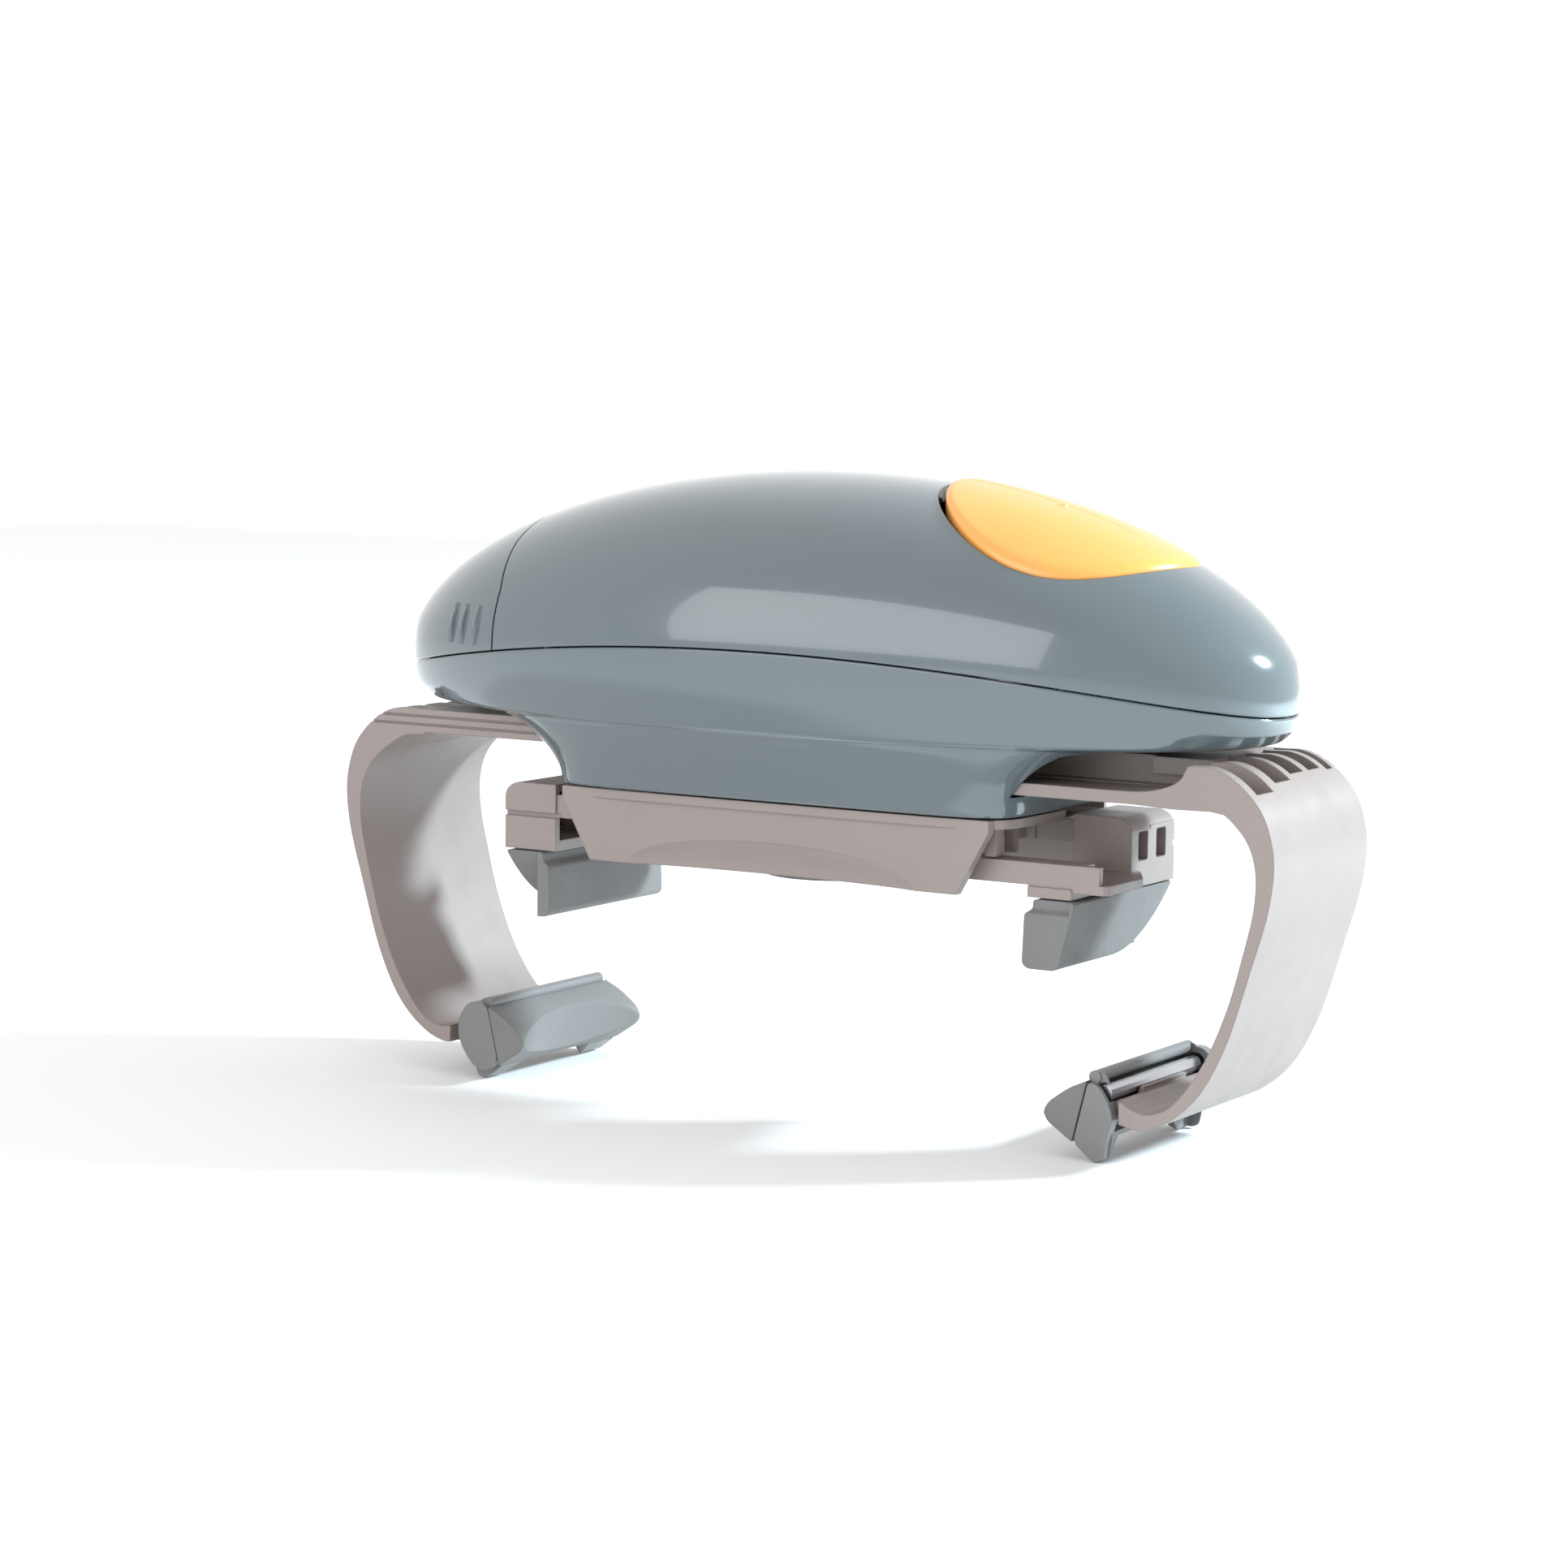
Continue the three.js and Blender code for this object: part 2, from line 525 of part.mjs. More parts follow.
function ringGear() {
  const cup = cylinder(RING_OUTER, TRAIN.ringRim, [0, 0], "z", 40);
  const spaces = prismZ(
    gearOutline(RING_TEETH, RACK_MODULE, { addendum: 1.15, dedendum: 0.8, thin: -BACKLASH / 2, flankPoints: 2 }),
    [TRAIN.ringWeb[1], 30],
  );
  const hub = cylinder(5.2, [RAIL.high[0] + 0.2, TRAIN.ringWeb[0] + 0.5], [0, 0], "z", 24);
  const pinion = gear(PINION_TEETH, RACK_MODULE, [RAIL.high[0] + 0.2, RAIL.high[1] - 0.2], 90, [0, 0], 3);
  return join(cup.subtract(spaces), hub, pinion).subtract(cylinder(3.4, [0, 30], [0, 0], "z", 20));
}

function planetCarrier() {
  const disc = cylinder(12.8, TRAIN.carrier, [0, 0], "z", 32);
  const shaft = cylinder(3, [3.9, TRAIN.carrier[1]], [0, 0], "z", 16);
  const pins = planetPlaces().map((place) => cylinder(1.2, [TRAIN.carrier[0], 20.4], place, "z", 12));
  return join(disc, shaft, ...pins);
}

const planetAngles = () => Array.from({ length: PLANET_COUNT }, (_, i) => (360 * i) / PLANET_COUNT);
const planetPlaces = () => planetAngles().map((angle) => polar(PLANET_ORBIT, angle));

const planetGear = (angle) =>
  gear(PLANET_TEETH, RACK_MODULE, TRAIN.planets, angle, polar(PLANET_ORBIT, angle)).subtract(
    cylinder(1.5, [0, 30], polar(PLANET_ORBIT, angle), "z", 12),
  );

function sunGear() {
  const sun = gear(SUN_TEETH, RACK_MODULE, TRAIN.sun);
  const wheel = gear(WHEEL.teeth, WHEEL.module, TRAIN.wheel);
  const hub = cylinder(4, [TRAIN.sun[1] - 0.2, TRAIN.wheel[0] + 0.2], [0, 0], "z", 16);
  return join(sun, wheel, hub).subtract(cylinder(1.5, [10, 40], [0, 0], "z", 12));
}

function reductionGear() {
  const phase = REDUCTION.angle + 180;
  const small = gear(REDUCTION.small, WHEEL.module, [TRAIN.wheel[0] - 0.7, TRAIN.wheel[1]], phase, reductionPlace);
  const large = gear(REDUCTION.large, REDUCTION.largeModule, TRAIN.firstStage, MOTOR.angle, reductionPlace);
  return small.add(large).subtract(cylinder(1.2, [10, 40], reductionPlace, "z", 12));
}

function motorPinion() {
  const phase = MOTOR.angle + 180 + 180 / MOTOR.pinion;
  return gear(MOTOR.pinion, REDUCTION.largeModule, TRAIN.firstStage, phase, motorPlace).subtract(
    cylinder(1.1, [10, 40], motorPlace, "z", 12),
  );
}

function motor() {
  const [x, y] = motorPlace;
  const can = cylinder(MOTOR.r, MOTOR.z, motorPlace, "z", 28).intersect(
    box([x - MOTOR.halfWidth, x + MOTOR.halfWidth], [y - 20, y + 20], [20, 60]),
  );
  const shaft = cylinder(0.8, [20.6, MOTOR.z[0] + 1], motorPlace, "z", 10);
  const bossTop = cylinder(3, [MOTOR.z[1] - 1, MOTOR.z[1] + 1], motorPlace, "z", 14);
  return join(can, shaft, bossTop);
}

// A fixed plate under the gears that holds the arm rails down.
function gearPlate() {
  const plate = prismZ(ellipse(0, 40, 25.5, 40), [11.6, 12.9]);
  return plate.subtract(cylinder(6, [0, 30], [0, 0], "z", 24));
}

// A bridge over the gears, on two feet, that the motor hangs in and both axles reach.
function motorBracket() {
  const [x, y] = motorPlace;
  const deck = box([-4, 36], [-13, 15], [27.2, 28.4]);
  const feet = [[-13, -11.6], [13.6, 15]].map((span) => box([30.5, 36], span, [13.3, 28.4]));
  const seat = box([x - MOTOR.halfWidth - GAP, x + 30], [y - MOTOR.r - GAP, y + MOTOR.r + GAP], [20, 40]);
  const cut = deck.subtract(seat.intersect(box([0, x + MOTOR.halfWidth + GAP], [-30, 30], [0, 60])));
  const pivot = cylinder(1.2, [20, 27.5], [0, 0], "z", 12);
  return join(cut, ...feet, pivot);
}

const reductionAxle = () => cylinder(0.9, [13.3, 26.9], reductionPlace, "z", 12);

// ---- power and switch ---------------------------------------------------------------------
function cell(side) {
  const y = side * CELL.y;
  const can = cylinder(CELL.r, [CELL.x, CELL.x + CELL.length - 1.2], [y, CELL.z], "x", 20);
  const nib = cylinder(2.6, [-1.4, 0.2], [y, CELL.z], "x", 12);
  const shift = side > 0 ? CELL.x + CELL.length : CELL.x;
  return can.add(nib.translate([side > 0 ? shift - 0.4 : shift + 0.4, 0, 0]));
}

function cellHolder() {
  const x0 = CELL.x + 6;
  const x1 = CELL.x + CELL.length + 2;
  const block = box([x0, x1], [-15.5, 15.5], [15.5, 24]);
  const bed = (side) => cylinder(CELL.r + GAP, [x0 - 1, x1 - 1.4], [side * CELL.y, CELL.z], "x", 20);
  const backWall = box([x1 - 1.3, x1], [-15.5, 15.5], [15.5, 33]);
  return block.add(backWall).subtract(bed(1)).subtract(bed(-1));
}

const contactPlate = (side) =>
  box([CELL.x + CELL.length + 0.1, CELL.x + CELL.length + 0.5], [side * CELL.y - 5, side * CELL.y + 5], [24.4, 31]);

const bridgeContact = () => box([CELL.x - 2.6, CELL.x - 2.1], [-13, 13], [23, 31]);

// A coil along Z as a bent rod with closed ends.
function coil({ r, wire, turns, from, to, place }) {
  class Helix extends THREE.Curve {
    getPoint(t) {
      const angle = 2 * Math.PI * turns * t;
      return new THREE.Vector3(r * Math.cos(angle), r * Math.sin(angle), from + (to - from) * t);
    }
  }
  const round = new THREE.Shape(ellipse(0, wire, wire, 5).map(([x, y]) => new THREE.Vector2(x, y)));
  const geometry = new THREE.ExtrudeGeometry(round, {
    steps: turns * 8,
    extrudePath: new Helix(),
    bevelEnabled: false,
  });
  return solid(geometry.translate(place[0], place[1], 0));
}

const buttonSpring = () =>
  coil({ r: 4.4, wire: 0.35, turns: 4, from: 40.6, to: 47, place: [BUTTON.x - 4, 0] });

const circuitBoard = () =>
  box([37.6, 58.5], [-14, 14], [34, 35.4]).subtract(cylinder(1.4, [30, 40], [55, 10], "z", 12));

const buttonSwitch = () =>
  box([BUTTON.x - 7.5, BUTTON.x - 0.5], [-6, 6], [35.7, 39]).add(
    cylinder(1.8, [38.5, 39.9], [BUTTON.x - 4, 0], "z", 12),
  );

const hingePin = () => cylinder(1, [-12.2, 12.2], [BUTTON.hingeX, BUTTON.hingeZ], "y", 12);

function housingScrew([x, y]) {
  const head = cylinder(2.4, [12.6, 14.2], [x, y], "z", 12);
  return head.add(cylinder(0.95, [14, 30], [x, y], "z", 8));
}

// ---- assembly -----------------------------------------------------------------------------
const opener = new THREE.Group();
const lifted = new THREE.Group();
lifted.position.z = STAND_HEIGHT;
opener.add(lifted);

const place = (name, shape, finish) => lifted.add(meshOf(name, shape, finish));

function placePair(name, make, finish) {
  place("right_" + name, make(), finish);
  place("left_" + name, halfTurn(make()), finish);
}

place("upper_shell", upperShell(), "shell");
place("lower_shell", lowerShell(), "shell");
place("battery_cover", batteryCover(), "shell");
place("button", button(), "button");
SCREWS.forEach((at, i) => place("housing_screw_" + (i + 1), housingScrew(at), "steel"));

placePair("arm", rightArm, "taupe");
placePair("grip_holder", gripHolder, "taupe");
placePair("grip_rubber", gripRubber, "rubber");
placePair("grip_pin", gripPin, "steel");

place("turntable", turntable(), "taupe");
place("turntable_retainer", turntableRetainer(), "steel");
place("lid_plate", lidPlate(), "rubber");
placePair("jaw", rightJaw, "taupe");
placePair("jaw_rubber", rightJawRubber, "rubber");
place("jaw_pinion", jawPinion(), "nylon");

place("ring_gear", ringGear(), "nylon");
place("planet_carrier", planetCarrier(), "steel");
planetAngles().forEach((angle, i) => place("planet_gear_" + (i + 1), planetGear(angle), "nylon"));
place("sun_gear", sunGear(), "nylon");
place("reduction_gear", reductionGear(), "nylon");
place("reduction_axle", reductionAxle(), "steel");
place("motor", motor(), "steel");
place("motor_pinion", motorPinion(), "brass");
place("gear_plate", gearPlate(), "steel");
place("motor_bracket", motorBracket(), "black");

[1, -1].forEach((side, i) => {
  place("battery_" + (i + 1), cell(side), "cell");
  place("battery_contact_" + (i + 1), contactPlate(side), "brass");
});
place("battery_holder", cellHolder(), "black");
place("battery_bridge", bridgeContact(), "brass");
place("button_spring", buttonSpring(), "steel");
place("button_hinge_pin", hingePin(), "steel");
place("circuit_board", circuitBoard(), "board");
place("button_switch", buttonSwitch(), "black");

export default opener;
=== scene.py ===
"""Looks of an automatic jar opener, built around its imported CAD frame."""
import json
import math

import bmesh
import bpy
import numpy as np
from mathutils import Matrix, Vector


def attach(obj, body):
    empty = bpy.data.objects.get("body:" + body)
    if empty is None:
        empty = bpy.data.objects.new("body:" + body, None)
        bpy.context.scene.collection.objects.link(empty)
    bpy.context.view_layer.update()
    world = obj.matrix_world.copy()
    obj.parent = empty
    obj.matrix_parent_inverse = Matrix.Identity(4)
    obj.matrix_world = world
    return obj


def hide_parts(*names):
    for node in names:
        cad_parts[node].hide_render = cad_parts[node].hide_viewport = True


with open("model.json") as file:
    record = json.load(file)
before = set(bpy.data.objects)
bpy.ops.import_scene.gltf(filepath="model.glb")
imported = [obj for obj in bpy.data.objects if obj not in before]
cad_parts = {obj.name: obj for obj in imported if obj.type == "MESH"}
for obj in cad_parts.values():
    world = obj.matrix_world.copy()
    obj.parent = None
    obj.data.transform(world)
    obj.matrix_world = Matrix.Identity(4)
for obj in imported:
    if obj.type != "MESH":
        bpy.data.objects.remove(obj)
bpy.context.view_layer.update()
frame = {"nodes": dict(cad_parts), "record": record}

MM = 0.001
STAND = 56.0  # underside of the housing above the floor; heights below are from that underside
AROUND = 256  # points round the housing
WALL = 2.2
GAP = 0.2  # between the two shells
COVER_GAP = 0.4
SEAM_LIP = 0.32


# ---- mesh helpers, all in millimetres --------------------------------------------------------
def mesh_object(name, points, faces):
    data = bpy.data.meshes.new(name)
    data.from_pydata([(x * MM, y * MM, (z + STAND) * MM) for x, y, z in points], [], faces)
    work = bmesh.new()
    work.from_mesh(data)
    bmesh.ops.recalc_face_normals(work, faces=work.faces)
    work.to_mesh(data)
    work.free()
    obj = bpy.data.objects.new(name, data)
    bpy.context.scene.collection.objects.link(obj)
    return obj


def skin(name, rows, start=None, end=None):
    """A closed surface through loops of equal length.

    It ends in a point at each end, or the last loop joins the first.
    """
    count = len(rows[0])
    points = [tuple(p) for row in rows for p in row]
    faces = []
    last = len(rows) if start is None else len(rows) - 1
    for r in range(last):
        a, b = r * count, (r + 1) % len(rows) * count
        for i in range(count):
            j = (i + 1) % count
            faces.append((a + i, a + j, b + j, b + i))
    if start is not None:
        points += [tuple(start), tuple(end)]
        top, bottom = len(points) - 2, len(points) - 1
        base = (len(rows) - 1) * count
        for i in range(count):
            j = (i + 1) % count
            faces.append((top, j, i))
            faces.append((bottom, base + i, base + j))
    return mesh_object(name, points, faces)


def prism(name, outline, low, high, axis="y"):
    """An outline pushed from low to high: (x, z) along y, (x, y) along z, (y, z) along x."""
    place = {
        "y": lambda a, b, c: (a, c, b),
        "z": lambda a, b, c: (a, b, c),
        "x": lambda a, b, c: (c, a, b),
    }[axis]
    count = len(outline)
    points = [place(a, b, c) for c in (low, high) for a, b in outline]
    faces = [tuple(range(count)), tuple(range(2 * count - 1, count - 1, -1))]
    faces += [(i, i + count, (i + 1) % count + count, (i + 1) % count) for i in range(count)]
    return mesh_object(name, points, faces)


def block(name, x, y, z):
    """A box from its (low, high) along each axis."""
    return prism(name, [(x[0], z[0]), (x[1], z[0]), (x[1], z[1]), (x[0], z[1])], y[0], y[1])


def circle(radius, centre=(0, 0), sides=32, start=0.0):
    """Points round a circle, from an angle in radians."""
    angles = [start + 2 * math.pi * i / sides for i in range(sides)]
    return [(centre[0] + radius * math.cos(a), centre[1] + radius * math.sin(a)) for a in angles]


def rounded(outline, radius, steps=4, only=None):
    """The same outline with its corners rounded, all of them or those numbered in only."""
    count = len(outline)
    made = []
    for i, corner in enumerate(outline):
        p = Vector(corner)
        before, after = Vector(outline[i - 1]), Vector(outline[(i + 1) % count])
        r = radius if only is None or i in only else 0
        if r == 0:
            made.append(tuple(p))
            continue
        one, two = (before - p), (after - p)
        reach = min(r, one.length * 0.45, two.length * 0.45)
        one, two = p + one.normalized() * reach, p + two.normalized() * reach
        for k in range(steps + 1):
            t = k / steps
            made.append(tuple(one * (1 - t) ** 2 + p * (2 * t * (1 - t)) + two * t ** 2))
    return made


def curve_through(points, steps):
    """A smooth line through points of any dimension."""
    p = [np.array(q, float) for q in points]
    p = [2 * p[0] - p[1], *p, 2 * p[-1] - p[-2]]
    made = []
    for i in range(1, len(p) - 2):
        knots = [0.0]
        for k in range(3):
            knots.append(knots[-1] + max(1e-6, np.linalg.norm(p[i + k] - p[i + k - 1])) ** 0.5)
        for step in range(steps):
            t = knots[1] + (knots[2] - knots[1]) * step / steps
            a = [
                (knots[k + 1] - t) / (knots[k + 1] - knots[k]) * p[i + k - 1]
                + (t - knots[k]) / (knots[k + 1] - knots[k]) * p[i + k]
                for k in range(3)
            ]
            b = [
                (knots[k + 2] - t) / (knots[k + 2] - knots[k]) * a[k]
                + (t - knots[k]) / (knots[k + 2] - knots[k]) * a[k + 1]
                for k in range(2)
            ]
            made.append(
                (knots[2] - t) / (knots[2] - knots[1]) * b[0]
                + (t - knots[1]) / (knots[2] - knots[1]) * b[1]
            )
    made.append(p[-2])
    return [tuple(q) for q in made]


def settle(obj):
    """Makes an object's modifiers part of its mesh."""
    shape = obj.evaluated_get(bpy.context.evaluated_depsgraph_get())
    made = bpy.data.meshes.new_from_object(shape)
    obj.modifiers.clear()
    old = obj.data
    obj.data = made
    bpy.data.meshes.remove(old)


def combine(obj, others, operation):
    for other in others:
        step = obj.modifiers.new("cut", "BOOLEAN")
        step.operation, step.object, step.solver = operation, other, "MANIFOLD"
    settle(obj)
    for other in others:
        bpy.data.objects.remove(other)
    if not obj.data.polygons:
        raise RuntimeError(obj.name + " came out empty")
    return obj


def cut(obj, *others):
    return combine(obj, others, "DIFFERENCE")


def add(obj, *others):
    return combine(obj, others, "UNION")


def keep(obj, *others):
    return combine(obj, others, "INTERSECT")


def copy(obj, name):
    twin = obj.copy()
    twin.data = obj.data.copy()
    twin.name = name
    bpy.context.scene.collection.objects.link(twin)
    return twin


def smooth(obj, angle):
    for face in obj.data.polygons:
        face.use_smooth = True
    obj.data.set_sharp_from_angle(angle=math.radians(angle))
    step = obj.modifiers.new("normals", "WEIGHTED_NORMAL")
    step.keep_sharp = True


def turned(obj, name):
    """A copy turned half way round the drive axis."""
    twin = copy(obj, name)
    twin.data.transform(Matrix.Rotation(math.pi, 4, "Z"))
    return twin


# ---- housing surface -------------------------------------------------------------------------
CREST, CREST_INSIDE = 55.7, 53.3
SEAM_CREST, SEAM_FALL, SEAM_REACH = 26.5, 8.3, 86  # the seam drops towards both ends
DOME_LONG, DOME_TALL, DOME_BASE = 88.5, 37.7, 18  # the dome's side view: an ellipse about this height
DOME_WIDE, DOME_RISE = 34, 29.2  # its end view, above the seam's crest
DOME_SQUARE = 2.2
SKIRT = (46, 23, 8)  # half length, half width and squareness of the skirt's lower edge
DRIVE_HOLE = 12.4  # radius of the hole that the turntable's bearing turns in
TURN_Z = 15.2  # the sides start here, above the turn of the underside


def seam_z(x):
    return SEAM_CREST - SEAM_FALL * (x / SEAM_REACH) ** 2


# Height, half length, half width and squareness of the sections below the seam.
BOWL = [
    (0, *SKIRT), (2.7, 46.6, 24.2, 7), (5.6, 48.8, 25.8, 5.8), (8.5, 52.6, 27.6, 4.8),
    (10.3, 56.6, 28.8, 4), (11.2, 60.5, 29.5, 3.4), (12, 67, 30, 2.8), (12.5, 78, 30.6, 2.4),
    (13.2, 83.6, 31.1, 2.25), (15.2, 86.4, 31.9, 2.2), (18.4, 87, 33, 2.2), (22.4, 86.9, 33.8, 2.2),
]
ANGLES = np.linspace(0, 2 * math.pi, AROUND, endpoint=False)


def dome_section(z):
    length = DOME_LONG * np.sqrt(np.maximum(0, 1 - ((z - DOME_BASE) / DOME_TALL) ** 2))
    rise = np.clip((z - SEAM_CREST) / DOME_RISE, 0, 1)
    return length, DOME_WIDE * np.sqrt(1 - rise ** 2), DOME_SQUARE + 0 * z


def dome_row(z):
    return (z, *[float(v) for v in dome_section(np.array(z))])


def side_table():
    """Sections from the turn of the underside up to the crest, close enough together to read between."""
    low = curve_through(BOWL[8:] + [(25, 86.47, 33.97, DOME_SQUARE), dome_row(SEAM_CREST)], 8)
    swing = np.linspace(math.asin((SEAM_CREST - DOME_BASE) / DOME_TALL), math.pi / 2, 80)[1:]
    return np.array(low + [dome_row(z) for z in DOME_BASE + DOME_TALL * np.sin(swing)])


SIDE = side_table()


def outline_at(z):
    """The housing's outside at a height, which can differ from angle to angle, and the way out in plan."""
    z = z + 0 * ANGLES
    high = z > SEAM_CREST
    a = np.where(high, dome_section(z)[0], np.interp(z, SIDE[:, 0], SIDE[:, 1]))
    b = np.where(high, dome_section(z)[1], np.interp(z, SIDE[:, 0], SIDE[:, 2]))
    return superellipse(a, b, DOME_SQUARE, z)


def superellipse(a, b, n, z):
    """Points of a squared-off ellipse, and the way out at each."""
    c, s = np.cos(ANGLES), np.sin(ANGLES)
    scale = (np.abs(c) ** n + np.abs(s) ** n) ** (-1 / n)
    x, y = a * c * scale, b * s * scale
    out_x = np.sign(c) * np.abs(x / np.maximum(a, 1e-6)) ** (n - 1) / np.maximum(a, 1e-6)
    out_y = np.sign(s) * np.abs(y / np.maximum(b, 1e-6)) ** (n - 1) / np.maximum(b, 1e-6)
    size = np.maximum(np.hypot(out_x, out_y), 1e-9)
    return np.stack([x, y, z + 0 * x], 1), np.stack([out_x / size, out_y / size, 0 * x], 1)


def seam_heights(shift):
    """Heights of the seam round the housing, moved by shift, closed in on step by step."""
    z = np.full(AROUND, 24.0)
    for _ in range(8):
        z = seam_z(outline_at(z)[0][:, 0]) + shift
    return z


def seam_lip(edge, side):
    """Rows round the rounded edge at the seam, from the outside inwards. side is +1 above the seam."""
    rows = []
    for k in range(5):
        a = k / 4 * math.pi / 2
        z = edge + side * SEAM_LIP * (1 - math.sin(a))
        p, out = outline_at(z)
        p[:, 2] = z
        rows.append(p - out * SEAM_LIP * (1 - math.cos(a)))
    p, out = outline_at(edge)
    rows.append(p - out * (WALL - 0.2))
    rows.append(p - out * WALL + np.array([0, 0, side * 0.2]))
    return rows


def upper_body():
    edge = seam_heights(GAP / 2)
    start = np.arcsin((np.maximum(edge + SEAM_LIP, DOME_BASE) - DOME_BASE) / DOME_TALL)
    outside, inside = [], []
    for u in 1 - np.cos(np.linspace(0, math.pi / 2, 46)[1:-1]):
        swing = math.pi / 2 - (math.pi / 2 - start) * u
        outside.append(outline_at(DOME_BASE + DOME_TALL * np.sin(swing))[0])
    for row in outside[::-1][2:]:
        p, out = outline_at(row[:, 2])
        p = p - out * WALL
        p[:, 2] -= WALL * np.clip((row[:, 2] - 24) / (CREST - 24), 0, 1) ** 0.6
        if p[:, 0].max() > 14:  # the inside stops short of the crest, where it would fold over
            inside.append(p)
    rows = outside + seam_lip(edge, 1) + inside
    return skin("upper_body", rows, (0, 0, CREST), (0, 0, CREST_INSIDE))


def lower_body():
    edge = seam_heights(-GAP / 2)
    length, width, square = SKIRT
    floor_z = 2.0
    up = np.array([0, 0, floor_z])
    rows = seam_lip(edge, -1)[::-1]
    for u in np.linspace(0, 1, 9)[1:]:
        rows.append(outline_at((edge - SEAM_LIP) * (1 - u) + TURN_Z * u)[0])
    bowl = curve_through(BOWL[:10], 6)[:-1]
    for z, a, b, n in bowl[::-1]:
        inset = 0 if z > 0.05 else 0.1
        rows.append(superellipse(a - inset, b - inset, n, z if z > 0.05 else 0)[0])
    rim = superellipse(length - 0.5, width - 0.5, square, 0)[0]
    hole = superellipse(DRIVE_HOLE, DRIVE_HOLE, 2, 0)[0]
    rows += [rim, rim * 0.5 + hole * 0.5, hole, hole + up]
    inner = superellipse(length - WALL, width - WALL, square, floor_z)[0]
    rows.append((hole + up) * 0.5 + inner * 0.5)
    for z, a, b, n in bowl:
        rows.append(superellipse(a - WALL, b - WALL, n, z + floor_z)[0])
    top = seam_lip(edge, -1)[-1]
    base = superellipse(86.7 - WALL, 31.9 - WALL, DOME_SQUARE, 17.0)[0]
    rows.append(base * 0.5 + top * 0.5)
    return skin("lower_body", rows)


def tail_side(shift):
    """Everything behind the battery cover's split line."""
    line = [(-57.0, 62), (-55.5, 42), (-53.5, 34), (-54.5, 10)]
    return prism("tail", [(x + shift, z) for x, z in line] + [(-110, 10), (-110, 62)], -60, 60)


BUTTON_X, BUTTON_LONG, BUTTON_WIDE = 46.5, 21.5, 22.0


def stretched_circle(x, long, wide):
    return [(x + long * c, wide * s) for c, s in circle(1, sides=96)]


def housing():
    body = upper_body()
    cover = keep(copy(body, "battery_cover_skin"), tail_side(-COVER_GAP / 2))
    rear_gap, side_gap = 1.4, 0.5
    shape = stretched_circle(
        BUTTON_X - (rear_gap - side_gap) / 2, BUTTON_LONG + (rear_gap + side_gap) / 2, BUTTON_WIDE + side_gap
    )
    upper = cut(body, prism("opening", shape, 29.5, 70, "z"), tail_side(COVER_GAP / 2))
    upper.name = "upper_shell_skin"
    arm_slot = block("slot", (-60.4, 60.4), (-19.1, 19.1), (3.5, 11.15))
    lower = cut(lower_body(), arm_slot)
    lower.name = "lower_shell_skin"
    add(cover, *[bar for side in (1, -1) for bar in cover_ribs(side)])
    return upper, lower, cover


RIB_TOP, RIB_TALL, RIB_THICK, RIB_LEAN = 31, 7, 0.95, 0.9
RIB_PLACES = (-58.1, -61.8, -65.0)  # along X, at their tops


def cover_ribs(side):
    """Three thin raised bars low on each flank of the battery cover, to push it off by."""
    made = []
    for top_x in RIB_PLACES:
        rows = []
        for t in np.linspace(0, 1, 9):
            x, z = top_x - RIB_LEAN * t, RIB_TOP - RIB_TALL * t
            y, out = flank(x, z)
            fat = RIB_THICK * math.sin(math.pi * (0.12 + 0.76 * t)) ** 0.5
            centre = np.array([x, side * y, z]) - 0.1 * np.array([out[0], side * out[1], 0])
            along = np.array([out[1], -side * out[0], 0])
            away = np.array([out[0], side * out[1], 0])
            rows.append([centre + fat * (0.5 * c * along + s * away) for c, s in circle(1, sides=12)])
        made.append(skin("bar", rows, np.mean(rows[0], 0), np.mean(rows[-1], 0)))
    return made


def flank(x, z):
    """Half-width of the housing at x and z, and the way out in plan for the +Y side."""
    if z > SEAM_CREST:
        a, b = (float(v) for v in dome_section(np.array(z))[:2])
    else:
        a, b = (float(np.interp(z, SIDE[:, 0], SIDE[:, k])) for k in (1, 2))
    u = min(0.999, abs(x) / a)
    y = b * (1 - u ** DOME_SQUARE) ** (1 / DOME_SQUARE)
    slope = DOME_SQUARE - 1
    out = np.array([math.copysign(u ** slope / a, x), (y / b) ** slope / b])
    return y, out / np.linalg.norm(out)


# ---- button ----------------------------------------------------------------------------------
def crown_z(x, y):
    """Height of the housing's outside above a point in plan."""
    low, high = np.full(x.shape, SEAM_CREST), np.full(x.shape, CREST - 0.01)
    for _ in range(40):
        mid = (low + high) / 2
        a, b, n = dome_section(mid)
        inside = (np.abs(x) / np.maximum(a, 1e-6)) ** n + (np.abs(y) / np.maximum(b, 1e-6)) ** n < 1
        low, high = np.where(inside, mid, low), np.where(inside, high, mid)
    return (low + high) / 2


HINGE, HINGE_BOSS, HINGE_BORE = (66, 33.5), 2.6, 1.3
STEM_X, STEM_TOP = 42.5, 51.5
CAP_EDGE, CAP_SKIN, CAP_RIM = 1.3, 2.0, 4.6  # rounding of the rim, thickness of the skin, depth of the rim


